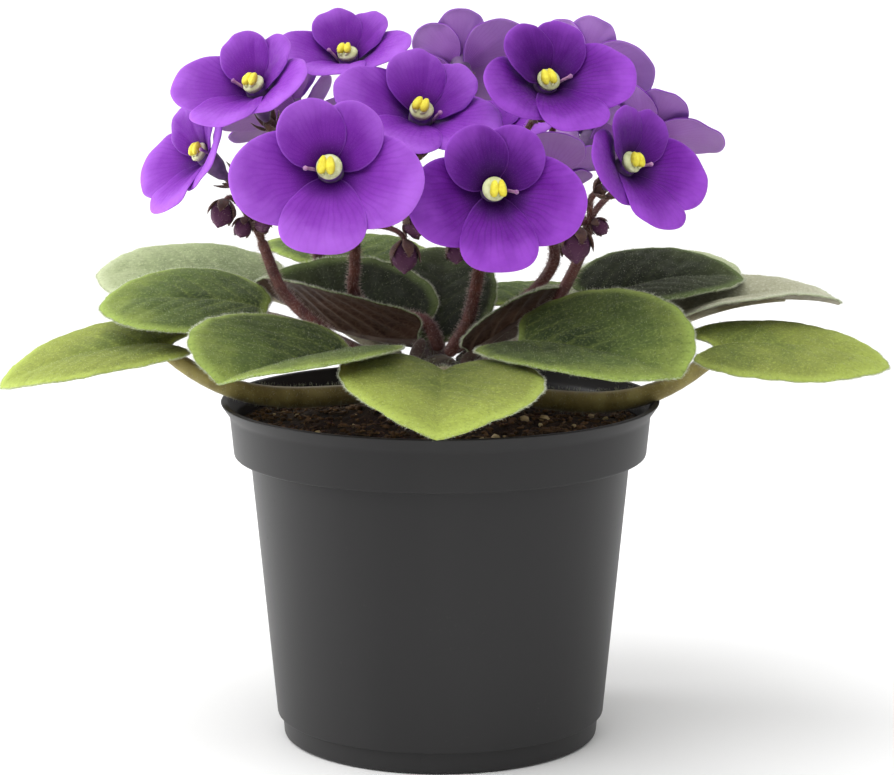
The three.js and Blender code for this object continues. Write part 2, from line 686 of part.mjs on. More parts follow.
function makeStamens(flower) {
  const start = TUBE.front + GAP / flower.size;
  const top = start + STAMEN.bossDepth;
  const boss = flowerRod(flower, [
    [0, 0, start, STAMEN.bossRadius],
    [0, 0, top, STAMEN.neckRadius],
  ], 5);
  const frame = flowerFrame(flower);
  const turn = new THREE.Matrix4().makeBasis(frame.right, frame.up, frame.out);
  const anthers = [-1, 1].map((side) => {
    const geometry = new THREE.IcosahedronGeometry(flower.size, 0);
    geometry.scale(...STAMEN.antherRadii);
    geometry.applyMatrix4(turn);
    const middle = inFlower(flower, side * STAMEN.antherSpread, STAMEN.antherLift, top + STAMEN.antherRise);
    geometry.translate(...middle.toArray());
    return solidFrom(geometry);
  });
  return joined([boss, ...anthers]);
}

// ---- Sprays ----

// Five pointed sepals round a hollow, as a star that opens along the axis of its flower or bud.
function calyxSolid(place) {
  const points = [place(0, 0, CALYX.back), place(0, 0, CALYX.centre)];
  for (let i = 0; i < 10; i += 1) {
    const turn = (i / 10) * 2 * Math.PI;
    const [radius, out] = i % 2 === 0
      ? [CALYX.tipRadius, CALYX.tip]
      : [CALYX.valleyRadius, CALYX.valley];
    points.push(place(radius * Math.sin(turn), radius * Math.cos(turn), out));
  }
  const triangles = [];
  for (let i = 0; i < 10; i += 1) {
    const [a, b] = [2 + i, 2 + ((i + 1) % 10)];
    triangles.push([1, b, a], [0, a, b]);
  }
  return solidOf(points, triangles);
}

function curveRod(points, radii, steps, sides) {
  const curve = new THREE.CatmullRomCurve3(points, false, 'catmullrom', 0.5);
  const line = curve.getPoints(steps);
  const [first, last] = radii;
  return rod(line, line.map((_, i) => THREE.MathUtils.lerp(first, last, i / steps)), sides);
}

function pedicelRod(start, leave, end, arrive) {
  const span = start.distanceTo(end);
  const route = new THREE.CubicBezierCurve3(
    start,
    start.clone().addScaledVector(leave, span * PEDICEL.bend),
    end.clone().addScaledVector(arrive, -span * PEDICEL.bend),
    end,
  );
  const points = route.getPoints(PEDICEL.steps);
  return rod(points, points.map(() => PEDICEL.radius), PEDICEL.sides);
}

function budSolids(bud, start, leave) {
  const like = { at: bud.at, face: bud.tip, roll: 0, size: bud.radius };
  const body = flowerRod(like, BUD.stations.map(([out, radius]) => [0, 0, out, radius]), BUD.sides);
  const star = calyxSolid((right, up, out) => inFlower(
    like,
    right * BUD.calyxWidth,
    up * BUD.calyxWidth,
    (out - CALYX.centre) * BUD.calyxDepth + BUD.calyxBack,
  ));
  const end = inFlower(like, 0, 0, BUD.stem);
  return [body, star, pedicelRod(start, leave, end, direction(...bud.tip))];
}

function makeSpray(spray, index) {
  const path = spray.path.map((place) => new THREE.Vector3(...place));
  const top = path[path.length - 1];
  const leave = top.clone().sub(path[path.length - 2]).normalize();
  const start = top.clone().addScaledVector(leave, -PEDICEL.sink);
  const stalk = curveRod(path, [STALK.radius, STALK.tipRadius], STALK.steps, STALK.sides);
  const carried = FLOWERS.filter((flower) => flower.spray === index).flatMap((flower) => {
    const place = (right, up, out) => inFlower(flower, right, up, out);
    const end = place(0, 0, CALYX.back + PEDICEL.sink);
    return [calyxSolid(place), pedicelRod(start, leave, end, flowerFrame(flower).out)];
  });
  const buds = BUDS.filter((bud) => bud.spray === index).flatMap((bud) => budSolids(bud, start, leave));
  return joined([stalk, ...carried, ...buds]);
}

// ---- The whole plant ----

const group = new THREE.Group();
group.add(meshOf('pot', makePot(), MATERIALS.pot));
group.add(meshOf('soil', makeSoil(crownSolid(GAP)), MATERIALS.soil));
group.add(meshOf('crown', crownSolid(0), MATERIALS.crown));
LEAVES.forEach((leaf) => group.add(meshOf(leaf.name, makeLeaf(leaf), MATERIALS[leaf.tone])));
FLOWERS.forEach((flower, i) => {
  const number = String(i + 1).padStart(2, '0');
  group.add(meshOf(`corolla_${number}`, makeCorolla(flower, i), MATERIALS.corolla));
  group.add(meshOf(`stamens_${number}`, makeStamens(flower), MATERIALS.stamens));
});
SPRAYS.forEach((spray, i) => group.add(meshOf(spray.name, makeSpray(spray, i), MATERIALS.spray)));

export default group;
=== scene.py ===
"""Potted African violet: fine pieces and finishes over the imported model."""
import math
from collections import namedtuple
from itertools import combinations

import bpy
import numpy as np
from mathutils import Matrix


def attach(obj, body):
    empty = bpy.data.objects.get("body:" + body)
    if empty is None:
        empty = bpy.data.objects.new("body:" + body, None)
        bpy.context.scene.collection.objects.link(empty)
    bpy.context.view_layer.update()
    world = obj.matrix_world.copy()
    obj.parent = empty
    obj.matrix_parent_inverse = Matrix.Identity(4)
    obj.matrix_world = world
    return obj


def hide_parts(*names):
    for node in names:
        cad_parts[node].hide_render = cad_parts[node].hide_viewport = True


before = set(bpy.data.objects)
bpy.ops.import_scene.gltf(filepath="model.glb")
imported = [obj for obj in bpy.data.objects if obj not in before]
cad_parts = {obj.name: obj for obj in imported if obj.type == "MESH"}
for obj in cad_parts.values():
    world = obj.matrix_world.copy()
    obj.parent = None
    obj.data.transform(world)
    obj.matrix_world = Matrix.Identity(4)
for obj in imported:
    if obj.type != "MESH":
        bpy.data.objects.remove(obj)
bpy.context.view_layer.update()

MM = 0.001
UP = np.array([0.0, 0.0, 1.0])
VALUES = ("along", "across", "edge", "vein")


# ---- Vectors and curves, in millimetres ----

def vec(*numbers):
    return np.array(numbers, dtype=float)


def unit(vectors):
    length = np.linalg.norm(vectors, axis=-1, keepdims=True)
    return vectors / np.maximum(length, 1e-9)


def lerp(start, end, share):
    return start + (end - start) * share


def direction(azimuth, elevation):
    turn, lift = math.radians(azimuth), math.radians(elevation)
    return vec(math.cos(lift) * math.cos(turn), math.cos(lift) * math.sin(turn), math.sin(lift))


def turns(count):
    """Even turns all the way round, in radians."""
    return np.arange(count) / count * 2 * math.pi


def around(radius, turn, height):
    """Points round the upright axis."""
    return np.stack(np.broadcast_arrays(radius * np.cos(turn), radius * np.sin(turn), height), -1)


def column(values):
    return np.asarray(values, dtype=float)[..., None]


def arc(length, slope, turn):
    """Run and rise to the end of an arc, and its slope there."""
    end = slope + turn * length
    if abs(turn) < 1e-6:
        return length * np.cos(slope), length * np.sin(slope), end
    return (np.sin(end) - np.sin(slope)) / turn, (np.cos(slope) - np.cos(end)) / turn, end


def bezier(a, b, c, d, steps):
    t = column(np.linspace(0, 1, steps + 1))
    return a * (1 - t) ** 3 + 3 * b * t * (1 - t) ** 2 + 3 * c * t * t * (1 - t) + d * t ** 3


def smooth_line(path, steps):
    """A line through the points of a path, with the tangents of a Catmull-Rom curve."""
    path = np.array(path, dtype=float)
    before = 2 * path[0] - path[1]
    after = 2 * path[-1] - path[-2]
    ends = np.vstack([before, path, after])
    line = []
    for i in range(len(path) - 1):
        p0, p1, p2, p3 = ends[i:i + 4]
        for t in np.arange(steps) / steps:
            tangent1, tangent2 = (p2 - p0) / 2, (p3 - p1) / 2
            line.append((2 * t ** 3 - 3 * t ** 2 + 1) * p1 + (t ** 3 - 2 * t ** 2 + t) * tangent1
                        + (3 * t ** 2 - 2 * t ** 3) * p2 + (t ** 3 - t ** 2) * tangent2)
    line.append(path[-1])
    return np.array(line)


def ripple(points, size, seed):
    """Smooth unevenness between about -1 and 1, with lumps of about that size."""
    random = np.random.default_rng(seed)
    total = np.zeros(len(points))
    for _ in range(7):
        wave = unit(random.normal(size=3)) * math.pi / size * random.uniform(0.7, 1.5)
        total += np.sin(points @ wave + random.uniform(0, 2 * math.pi))
    return total / 3.2


# ---- Pieces ----

RIM_BULGE = 0.8
ROD_CAPS, CAP_LENGTH = ((0.5, 0.87), (0.9, 0.45)), 0.7
HAIR_SINK, HAIR_SLOT = 0.08, 3


def put(name, data):
    """A new object in the scene."""
    thing = bpy.data.objects.new(name, data)
    bpy.context.scene.collection.objects.link(thing)
    return thing


class Piece:
    """Gathers the corners and faces of one piece, and the values that its materials read."""

    def __init__(self, name, seed=1):
        self.name = name
        self.points, self.faces, self.slots = [], [], []
        self.values = {key: [] for key in VALUES}
        self.count = 0
        self.random = np.random.default_rng(seed)

    def add(self, points, faces, slot=0, **values):
        self.points.append(points)
        self.faces.extend([[corner + self.count for corner in face] for face in faces])
        self.slots.extend([slot] * len(faces))
        self.count += len(points)
        for key in VALUES:
            self.values[key].append(np.broadcast_to(values.get(key, 0.0), len(points)))

    def mesh(self, materials):
        mesh = bpy.data.meshes.new(self.name)
        mesh.from_pydata((np.concatenate(self.points) * MM).tolist(), [], self.faces)
        for finish in materials:
            mesh.materials.append(finish)
        mesh.polygons.foreach_set("material_index", self.slots)
        mesh.polygons.foreach_set("use_smooth", [True] * len(self.faces))
        for key in VALUES:
            layer = mesh.attributes.new(key, "FLOAT", "POINT")
            layer.data.foreach_set("value", np.concatenate(self.values[key]).astype(np.float32))
        mesh.validate()
        return mesh

    def place(self, materials, slot):
        piece = put(self.name, self.mesh(materials))
        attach(piece, "root")
        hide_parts(self.name.replace("fine_", ""))
        return piece


def band_faces(a, b, segments, turned=False):
    """Faces between two rings of corners that start at a and b, or the same faces turned over."""
    here = np.arange(segments)
    after = (here + 1) % segments
    if turned:
        return np.stack([a + here, a + after, b + after, b + here], 1).tolist()
    return np.stack([a + here, b + here, b + after, a + after], 1).tolist()


def fan_faces(tip, ring, segments, turned=False):
    """Faces between one corner and a ring of corners, or the same faces turned over."""
    faces = [[tip, ring + here, ring + (here + 1) % segments] for here in range(segments)]
    return [[tip, after, here] for _, here, after in faces] if turned else faces


def ring_faces(rings, segments):
    """Faces of a disc: one middle corner, then rings of corners, seen from the front."""
    faces = fan_faces(0, 1, segments)
    for ring in range(1, rings):
        faces += band_faces(1 + (ring - 1) * segments, 1 + ring * segments, segments)
    return faces


def ring_places(rings, segments, bias=1.0):
    """Angle and reach of every corner of such a disc."""
    reach = (np.arange(1, rings + 1) / rings) ** bias
    angles = np.concatenate([[0.0], np.tile(turns(segments), rings)])
    reaches = np.concatenate([[0.0], np.repeat(reach, segments)])
    return angles, reaches


def add_sheet(piece, top, bottom, rings, segments, **values):
    """A closed thin sheet with a rounded rim, from the corners of its two faces."""
    flat = ring_faces(rings, segments)
    last = 1 + (rings - 1) * segments
    inner, outer = slice(last - segments, last), slice(last, last + segments)
    middle = (top[outer] + bottom[outer]) / 2
    outward = unit(middle - (top[inner] + bottom[inner]) / 2)
    half = np.linalg.norm(top[outer] - bottom[outer], axis=1, keepdims=True) / 2
    rim = middle + outward * half * RIM_BULGE
    piece.add(top, flat, 0, **values)
    piece.add(bottom, [face[::-1] for face in flat], 1, **values)
    top_rim = last - 2 * len(top)
    bottom_rim = top_rim + len(top)
    faces = band_faces(top_rim, 0, segments) + band_faces(0, bottom_rim, segments)
    piece.add(rim, faces, 0, **{key: value[outer] for key, value in values.items()})


def rod_frame(points, side=None):
    """Two directions across a line of points, carried along it without twist."""
    along = unit(np.gradient(points, axis=0))
    if side is None:
        side = UP - along[0] * along[0][2]
        if side @ side < 0.01:
            side = vec(1, 0, 0)
    sides = []
    for way in along:
        side = unit(side - way * (side @ way))
        sides.append(side)
    sides = np.array(sides)
    return along, sides, np.cross(along, sides)


def add_rod(piece, points, radii, sides, slot=0, flat=1.0, side=None, ridge=None):
    """A closed rod with rounded ends. flat is its thickness on the side direction, ridge its section."""
    radii = np.broadcast_to(radii, len(points))
    along, across1, across2 = rod_frame(points, side)
    first = [points[0] - along[0] * radii[0] * out * CAP_LENGTH for out, _ in ROD_CAPS[::-1]]
    last = [points[-1] + along[-1] * radii[-1] * out * CAP_LENGTH for out, _ in ROD_CAPS]
    line = np.vstack([first, points, last])
    size = np.concatenate([[radii[0] * keep for _, keep in ROD_CAPS[::-1]], radii,
                           [radii[-1] * keep for _, keep in ROD_CAPS]])
    wide, high = (np.vstack([way[:1], way[:1], way, way[-1:], way[-1:]]) for way in (across1, across2))
    turn = turns(sides)
    swell = np.ones(sides) if ridge is None else ridge(turn)
    ring = (wide[:, None] * (np.cos(turn) * swell * flat)[None, :, None]
            + high[:, None] * (np.sin(turn) * swell)[None, :, None])
    corners = line[:, None] + ring * size[:, None, None]
    count = len(line)
    faces = []
    for start in range(0, (count - 1) * sides, sides):
        faces += band_faces(start, start + sides, sides, turned=True)
    faces += fan_faces(count * sides, 0, sides, turned=True)
    faces += fan_faces(count * sides + 1, (count - 1) * sides, sides)
    share = np.clip((np.arange(count) - 2) / max(count - 5, 1), 0, 1)
    piece.add(np.vstack([corners.reshape(-1, 3), line[:1], line[-1:]]), faces, slot,
              along=np.concatenate([np.repeat(share, sides), [0, 1]]))


def add_hairs(piece, roots, ways, lengths, width, slot=HAIR_SLOT):
    """Fine tapering hairs, each a closed spike."""
    count = len(roots)
    if not count:
        return
    helper = unit(piece.random.normal(size=(count, 3)))
    side = unit(np.cross(ways, helper))
    other = np.cross(ways, side)
    feet = roots - ways * HAIR_SINK
    corners = [feet + side * width * 0.5,
               feet - side * width * 0.25 + other * width * 0.43,
               feet - side * width * 0.25 - other * width * 0.43,
               roots + ways * column(lengths)]
    points = np.stack(corners, 1).reshape(-1, 3)
    base = (np.arange(count) * 4)[:, None, None]
    shape = np.array([[0, 1, 3], [1, 2, 3], [2, 0, 3], [0, 2, 1]])[None]
    tips = np.tile([0.0, 0.0, 0.0, 1.0], count)
    piece.add(points, (base + shape).reshape(-1, 3).tolist(), slot, edge=tips)


def add_rod_hairs(piece, points, radii, hairs, slot=HAIR_SLOT):
    """Hairs all round a rod: how many to a millimetre, how long and how wide."""
    per_mm, length, width = hairs
    radii = np.broadcast_to(radii, len(points))
    steps = np.linalg.norm(np.diff(points, axis=0), axis=1)
    count = int(steps.sum() * per_mm)
    _, side, other = rod_frame(points)
    where = piece.random.uniform(0, len(points) - 1.001, count)
    low = where.astype(int)
    share = where - low
    turn = piece.random.uniform(0, 2 * math.pi, count)
    out = unit(side[low] * column(np.cos(turn)) + other[low] * column(np.sin(turn)))
    middle = lerp(points[low], points[low + 1], column(share))
    radius = lerp(radii[low], radii[low + 1], share)
    lean = piece.random.normal(0, 0.28, (count, 3)) + vec(0, 0, 0.1)
    lengths = length * piece.random.uniform(0.5, 1.15, count)
    add_hairs(piece, middle + out * column(radius), unit(out + lean), lengths, width, slot)


# ---- Finishes ----

class Finish:
    """A node graph for one material."""

    def __init__(self, name, **constants):
        self.material = bpy.data.materials.new(name)
        self.material.use_nodes = True
        self.tree = self.material.node_tree
        self.shader = self.tree.nodes["Principled BSDF"]
        for key, value in constants.items():
            self.shader.inputs[key.replace("_", " ")].default_value = value
        self.place = self.node("ShaderNodeTexCoord").outputs["Object"]

    def node(self, kind, **settings):
        node = self.tree.nodes.new(kind)
        for key, value in settings.items():
            setattr(node, key, value)
        return node

    def link(self, source, target):
        if isinstance(source, (int, float)):
            target.default_value = source
        elif isinstance(source, tuple):
            target.default_value = (*source, 1.0) if len(source) == 3 else source
        else:
            self.tree.links.new(source, target)

    def value(self, name):
        return self.node("ShaderNodeAttribute", attribute_name=name).outputs["Fac"]

    def noise(self, size, detail=2.0, roughness=0.5, stretch=None):
        """Noise whose lumps are about that many millimetres across."""
        noise = self.node("ShaderNodeTexNoise")
        place = self.place
        if stretch:
            mapping = self.node("ShaderNodeMapping")
            mapping.inputs["Scale"].default_value = stretch
            self.link(place, mapping.inputs["Vector"])
            place = mapping.outputs["Vector"]
        self.link(place, noise.inputs["Vector"])
        noise.inputs["Scale"].default_value = 1000.0 / size
        noise.inputs["Detail"].default_value = detail
        noise.inputs["Roughness"].default_value = roughness
        return noise.outputs["Fac"]

    def grains(self, size, feature="F1"):
        grains = self.node("ShaderNodeTexVoronoi", feature=feature)
        self.link(self.place, grains.inputs["Vector"])
        grains.inputs["Scale"].default_value = 1000.0 / size
        return grains.outputs["Distance"]

    def math(self, operation, a, b=0.0):
        node = self.node("ShaderNodeMath", operation=operation)
        self.link(a, node.inputs[0])
        self.link(b, node.inputs[1])
        return node.outputs[0]

    def band(self, source, low, high, to_low=0.0, to_high=1.0):
        """Source, moved smoothly from low..high to the new range."""
        node = self.node("ShaderNodeMapRange", interpolation_type="SMOOTHSTEP")
        for socket, number in zip(node.inputs[1:5], (low, high, to_low, to_high)):
            socket.default_value = number
        self.link(source, node.inputs[0])
        return node.outputs[0]

    def patches(self, size, detail, low, high, to_low=0.0, to_high=1.0):
        """Noise of that size, moved smoothly from low..high to the new range."""
        return self.band(self.noise(size, detail), low, high, to_low, to_high)

    def mix(self, share, a, b):
        node = self.node("ShaderNodeMix", data_type="RGBA")
        self.link(share, node.inputs["Factor"])
        self.link(a, node.inputs[6])
        self.link(b, node.inputs[7])
        return node.outputs[2]

    def bump(self, height, strength, distance, below=None):
        node = self.node("ShaderNodeBump")
        node.inputs["Strength"].default_value = strength
        node.inputs["Distance"].default_value = distance * MM
        self.link(height, node.inputs["Height"])
        if below is not None:
            self.link(below, node.inputs["Normal"])
        return node.outputs["Normal"]

    def grain(self, size, detail, strength, distance, below=None):
        """A bump of noise, on top of another where one is given."""
        return self.bump(self.noise(size, detail), strength, distance, below)

    def mottle(self, size, a, b):
        """Patches of that size of two colours."""
        return self.mix(self.patches(size, 3, 0.35, 0.65), a, b)

    def wear(self, colour, roughness, normal=None):
        self.link(colour, self.shader.inputs["Base Color"])
        self.link(roughness, self.shader.inputs["Roughness"])
        if normal is not None:
            self.link(normal, self.shader.inputs["Normal"])
        return self.material

    def wear_patchy(self, colour, size, low, high, normal=None):
        """The material, with a roughness that varies in patches of that size."""
        return self.wear(colour, self.patches(size, 2, 0.3, 0.7, low, high), normal)


def lighter(colour, times):
    return tuple(min(1.0, part * times + 0.03) for part in colour)


def darker(colour, times):
    return tuple(part * times for part in colour)


def leaf_top(name, deep, mid, light, rim):
    """Velvety green: deep at the leaf's foot and between its veins, paler out to a soft rim painted bright
    with light shining through the thin edge.
    """
    f = Finish(name, Specular_IOR_Level=0.2, Sheen_Weight=0.06, Sheen_Roughness=0.5,
               Sheen_Tint=(0.7, 0.8, 0.4, 1))
    towards_tip = f.math("MULTIPLY", f.value("along"), 0.65)
    outward = f.math("ADD", towards_tip, f.math("MULTIPLY", f.value("edge"), 0.35))
    uneven = f.math("ADD", outward, f.patches(8, 3, 0.2, 0.8, -0.16, 0.16))
    colour = f.mix(f.band(uneven, 0.12, 0.62), deep, mid)
    colour = f.mix(f.band(uneven, 0.55, 1.0, 0, 0.85), colour, light)
    colour = f.mix(f.band(f.value("vein"), 0.4, 1.0, 0, 0.3), colour, light)
    # Painted light: a band of brighter green along the edge stands for light shining through the thin leaf
    # edge.
    backlit_rim = f.band(f.value("edge"), 0.86, 1.0, 0, 0.8)
    colour = f.mix(f.math("MULTIPLY", backlit_rim, f.patches(7, 2, 0.25, 0.5, 0.4, 1)), colour, rim)
    fuzz = f.band(f.noise(0.7, 4, 0.65), 0.48, 0.72, 0, 0.4)
    colour = f.mix(fuzz, colour, lighter(light, 1.5))
    pits = f.patches(0.9, 3, 0.3, 0.5, 0.28, 0)
    colour = f.mix(pits, colour, darker(deep, 0.6))
    coarse = f.grain(1.8, 3, 0.35, 0.3)
    fine = f.bump(f.noise(0.7, 4, 0.7), 0.6, 0.2, coarse)
    return f.wear_patchy(colour, 3, 0.68, 0.88, fine)


def leaf_under(name, deep, mid, rib):
    """Smoother underside with fine netted veins and a ribbed middle."""
    f = Finish(name, Specular_IOR_Level=0.25, Sheen_Weight=0.06, Sheen_Roughness=0.5,
               Sheen_Tint=(0.9, 0.85, 0.75, 1))
    colour = f.mottle(10, deep, mid)
    net = f.band(f.grains(2.2, "DISTANCE_TO_EDGE"), 0.02, 0.16, 0.25, 0)
    colour = f.mix(net, colour, rib)
    colour = f.mix(f.band(f.value("vein"), 0.45, 1.0, 0, 0.8), colour, rib)
    colour = f.mix(f.patches(0.5, 3, 0.5, 0.75, 0, 0.2), colour, rib)
    normal = f.grain(0.6, 3, 0.4, 0.1, f.grain(3, 2, 0.4, 0.3))
    return f.wear_patchy(colour, 2, 0.6, 0.8, normal)


def petiole_finish(name, dark, mid, pale):
    f = Finish(name, Sheen_Weight=0.4, Sheen_Roughness=0.5, Sheen_Tint=(0.95, 0.92, 0.85, 1))
    colour = f.mottle(6, mid, pale)
    colour = f.mix(f.band(f.value("along"), 0.0, 0.45, 0.8, 0), colour, dark)
    colour = f.mix(f.patches(0.5, 3, 0.52, 0.75, 0, 0.45), colour, pale)
    normal = f.grain(0.5, 3, 0.5, 0.15, f.grain(2.5, 2, 0.35, 0.3))
    return f.wear_patchy(colour, 1.5, 0.55, 0.75, normal)


def hair_finish(name, foot, tip):
    f = Finish(name, Roughness=0.6)
    colour = f.mix(f.band(f.value("edge"), 0.0, 1.0), foot, tip)
    colour = f.mix(f.patches(3, 2, 0.3, 0.7, 0, 0.35), colour, darker(tip, 0.7))
    return f.wear_patchy(colour, 1, 0.5, 0.7)


STREAKS = 58


def petal_finish(name, throat, deep, mid, light, sheen):
    """Velvety petal: dark at the throat, lighter towards its edge, with soft veins and sparkle, and painted
    shade over whole lobes.
    """
    f = Finish(name, Specular_IOR_Level=0.15, Sheen_Weight=sheen, Sheen_Roughness=0.4,
               Sheen_Tint=(0.6, 0.3, 1, 1), Subsurface_Weight=0.1,
               Subsurface_Radius=(0.6, 0.2, 1.0), Subsurface_Scale=0.6 * MM)
    uneven = f.math("ADD", f.value("along"), f.patches(7, 3, 0.2, 0.8, -0.1, 0.1))
    colour = f.mix(f.band(uneven, 0.15, 0.65), deep, mid)
    colour = f.mix(f.band(uneven, 0.55, 1.05, 0, 0.95), colour, light)
    # Painted shade: each lobe's shade, held in its across value, darkens the whole lobe towards deep, most
    # near the throat.
    painted_shade_strength = f.band(uneven, 0.4, 1.1, 0.85, 0.35)
    colour = f.mix(f.math("MULTIPLY", f.value("across"), painted_shade_strength), colour, deep)
    colour = f.mix(f.band(f.value("along"), 0.16, 0.5, 0.92, 0), colour, throat)
    wander = f.patches(9, 2, 0.2, 0.8, -3, 3)
    streaks = f.math("SINE", f.math("ADD", f.math("MULTIPLY", f.value("vein"), STREAKS), wander))
    fade = f.band(f.value("along"), 0.3, 0.95, 0.36, 0.04)
    colour = f.mix(f.math("MULTIPLY", f.band(streaks, 0.2, 1.0), fade), colour, deep)
    sparkle = f.band(f.grains(0.3), 0.0, 0.35, 0.22, 0)
    colour = f.mix(sparkle, colour, light)
    rim = f.band(f.value("edge"), 0.95, 1.0, 0, 0.18)
    colour = f.mix(rim, colour, lighter(light, 1.3))
    normal = f.bump(f.grains(0.3), 0.35, 0.06, f.grain(4, 3, 0.25, 0.3))
    return f.wear_patchy(colour, 0.8, 0.5, 0.68, normal)


def tube_finish():
    """The short tube behind the petals, deep violet at its mouth round the stamens."""
    f = Finish("flower_tube", Sheen_Weight=0.2, Sheen_Roughness=0.5)
    back = f.mottle(3, (0.06, 0.02, 0.1), (0.14, 0.06, 0.2))
    mouth = f.mottle(1.2, (0.05, 0.004, 0.12), (0.12, 0.02, 0.24))
    uneven = f.math("ADD", f.value("along"), f.patches(0.9, 2, 0.3, 0.7, -0.03, 0.03))
    colour = f.mix(f.band(uneven, 0.72, 0.86), back, mouth)
    normal = f.grain(0.5, 3, 0.4, 0.08)
    return f.wear_patchy(colour, 1, 0.45, 0.65, normal)


def speckled(name, dark, mid, light, size, rough, sheen, bump):
    """A plain mottled finish with fine grain."""
    f = Finish(name, Sheen_Weight=sheen, Sheen_Roughness=0.5)
    colour = f.mottle(size, dark, mid)
    colour = f.mix(f.patches(size / 5, 3, 0.55, 0.8, 0, 0.7), colour, light)
    normal = f.grain(size / 6, 3, 0.5, bump, f.grain(size, 2, 0.3, bump))
    return f.wear_patchy(colour, size / 2, rough - 0.1, rough + 0.1, normal)


def pot_finish():
    """Dark grey moulded plastic with a satin grain, faint flow marks and a little dust."""
    f = Finish("grey_plastic", Specular_IOR_Level=0.2)
    flow = f.noise(60, 3, 0.5, stretch=(1, 1, 0.15))
    colour = f.mix(f.band(flow, 0.35, 0.65), (0.021, 0.0205, 0.021), (0.027, 0.0265, 0.027))
    dust = f.math("MULTIPLY", f.band(f.noise(1.1, 4, 0.7), 0.6, 0.75), f.patches(25, 2, 0.45, 0.7))
    colour = f.mix(f.math("MULTIPLY", dust, 0.3), colour, (0.09, 0.085, 0.08))
    rough = f.math("ADD", f.band(flow, 0.3, 0.7, 0.4, 0.48), f.math("MULTIPLY", dust, 0.25))
    normal = f.grain(0.5, 3, 0.25, 0.03, f.bump(flow, 0.12, 1.0))
    return f.wear(colour, rough, normal)


def soil_finish():
    f = Finish("potting_soil", Roughness=0.95)
    colour = f.mix(f.band(f.noise(3, 4, 0.6), 0.35, 0.65), (0.012, 0.006, 0.003), (0.045, 0.024, 0.011))
    colour = f.mix(f.band(f.noise(0.8, 4, 0.7), 0.52, 0.75, 0, 0.7), colour, (0.14, 0.08, 0.035))
    normal = f.bump(f.noise(0.5, 4, 0.7), 0.9, 0.35, f.grain(2, 3, 0.9, 0.9))
    return f.wear_patchy(colour, 1, 0.85, 1.0, normal)


# ---- Leaves ----

Leaf = namedtuple("Leaf", "name base azimuth pitch droop roll length width cup curl lobe tip "
                  "petiole root rise tone sag", defaults=(0,))
LEAVES = [Leaf(*row) for row in (
    ("far_left", (-67, -6, 100.5), 181, -1, 25, -10, 42, 40, 10, -14, 0.26, 0.05, 2.9, (172, 87), 2,
     "outer", 18),
    ("left", (-43, -1, 108.3), 179, 14, 26, -13, 41, 44, 4, -8, 0.04, 0.03, 2.0, (184, 90.5), 26, "inner"),
    ("left_behind", (-43, 24, 110), 170, 11, 14, -19, 45, 42, 6, -18, 0.1, 0.04, 2.2, (148, 91), 25, "pale"),
    ("front_left", (-20.5, -26, 102), 229, 2, 8, -5, 46, 52, 20, -11, 0.1, 0, 2.2, (228, 86), 14, "inner"),
    ("front", (1, -38, 100), 268, -3, 13, -4, 44, 48, 12, -10, 0.18, 0.07, 2.3, (270, 86), 18, "outer"),
    ("front_right", (18.5, -20, 103.5), 324, 3, 16, 15, 47, 49, 14, 0, 0.16, 0, 2.3, (315, 86), 20, "inner"),
    ("far_right", (68, -4, 100), -2, 5, 22, 11, 42, 43, 5, -18, 0.24, 0.05, 2.9, (358, 87), 2,
     "outer", 18),
    ("right", (56, 12, 103), 12, 20, 30, 2, 46, 33, 20, -12, 0.1, 0.04, 2.3, (16, 91.5), 12, "pale"),
    ("right_upper", (38, 14, 109), 13, 16, 20, 10, 39, 41, 13, -10, 0.12, 0.05, 2.0, (36, 94.5), 30,
     "inner"),
    ("right_behind", (39, 30, 106), 36, 14, 11, 14, 46, 41, 5, -19, 0.1, 0.04, 2.2, (52, 88), 20, "pale"),
    ("inner_left", (-5.5, 1.6, 101), 157, -6, -38, -8, 45, 41, 49, -6, 0.2, 0.04, 1.8, (190, 95), 20,
     "inner"),
    ("inner_right", (6.9, -3.5, 98.6), -1, 32, -2, -8, 27, 30, 24, -10, 0.06, 0.04, 1.8, (335, 94), 30,
     "inner"),
    ("back_left", (-16, 39, 113), 116, 14, 20, 0, 46, 42, 6, -12, 0.1, 0.04, 2.2, (115, 93), 28, "pale"),
    ("back", (-6, 38, 106), 100, 8, 20, 0, 45, 44, 6, -14, 0.12, 0.05, 2.3, (100, 85), 18, "outer"),
    ("back_right", (20, 36, 104), 64, 8, 20, 0, 46, 42, 6, -14, 0.12, 0.05, 2.3, (70, 85), 18, "outer"),
    ("inner_back", (0, 10.5, 98.5), 88, 38, 16, 0, 38, 28, 12, -10, 0.08, 0.04, 1.8, (90, 93), 35, "inner"),
)]
# Painted light and shade: leaves that lie in shade inside the rosette and at the back take the darker inner
# or dark look, and the right leaf takes the whitened ash look, painting the sheen of its hairs.
PAINTED_LIGHT_LEAF_LOOKS = {"right_upper": "dark", "inner_left": "dark", "inner_right": "dark", "inner_back": "dark",
               "back_left": "inner", "back": "inner", "back_right": "inner", "right": "ash"}
HIDDEN_LEAVES = ("back", "back_left", "back_right", "inner_back")
BLADE_RINGS, BLADE_SEGMENTS = 22, 132
BLADE_THICK, TEETH, TOOTH, NOTCH_WIDTH, TIP_WIDTH = 0.8, 18, 0.016, 0.3, 0.32
CROWN_RADIUS, GAP = 5.2, 0.3
VEIN_STEP, VEIN_LEAN, VEIN_BEND, VEIN_OFFSET = 6.2, 0.75, 3.2, 0.4
QUILT, RIB_SINK, RIM_DROP, UNDER_RIB = 0.3, 0.45, 0.6, 0.3
LEAF_HAIRS, RIM_HAIRS, HIDDEN_HAIRS, HIDDEN_RIM_HAIRS = 1300, 2700, 500, 1600
LEAF_HAIR_WIDTH, RIM_HAIR_WIDTH, PETIOLE_HAIRS = 0.045, 0.075, (18, 0.9, 0.06)
PETIOLE_BEND, PETIOLE_FOOT, RIB_END = 0.35, 0.7, 0.72


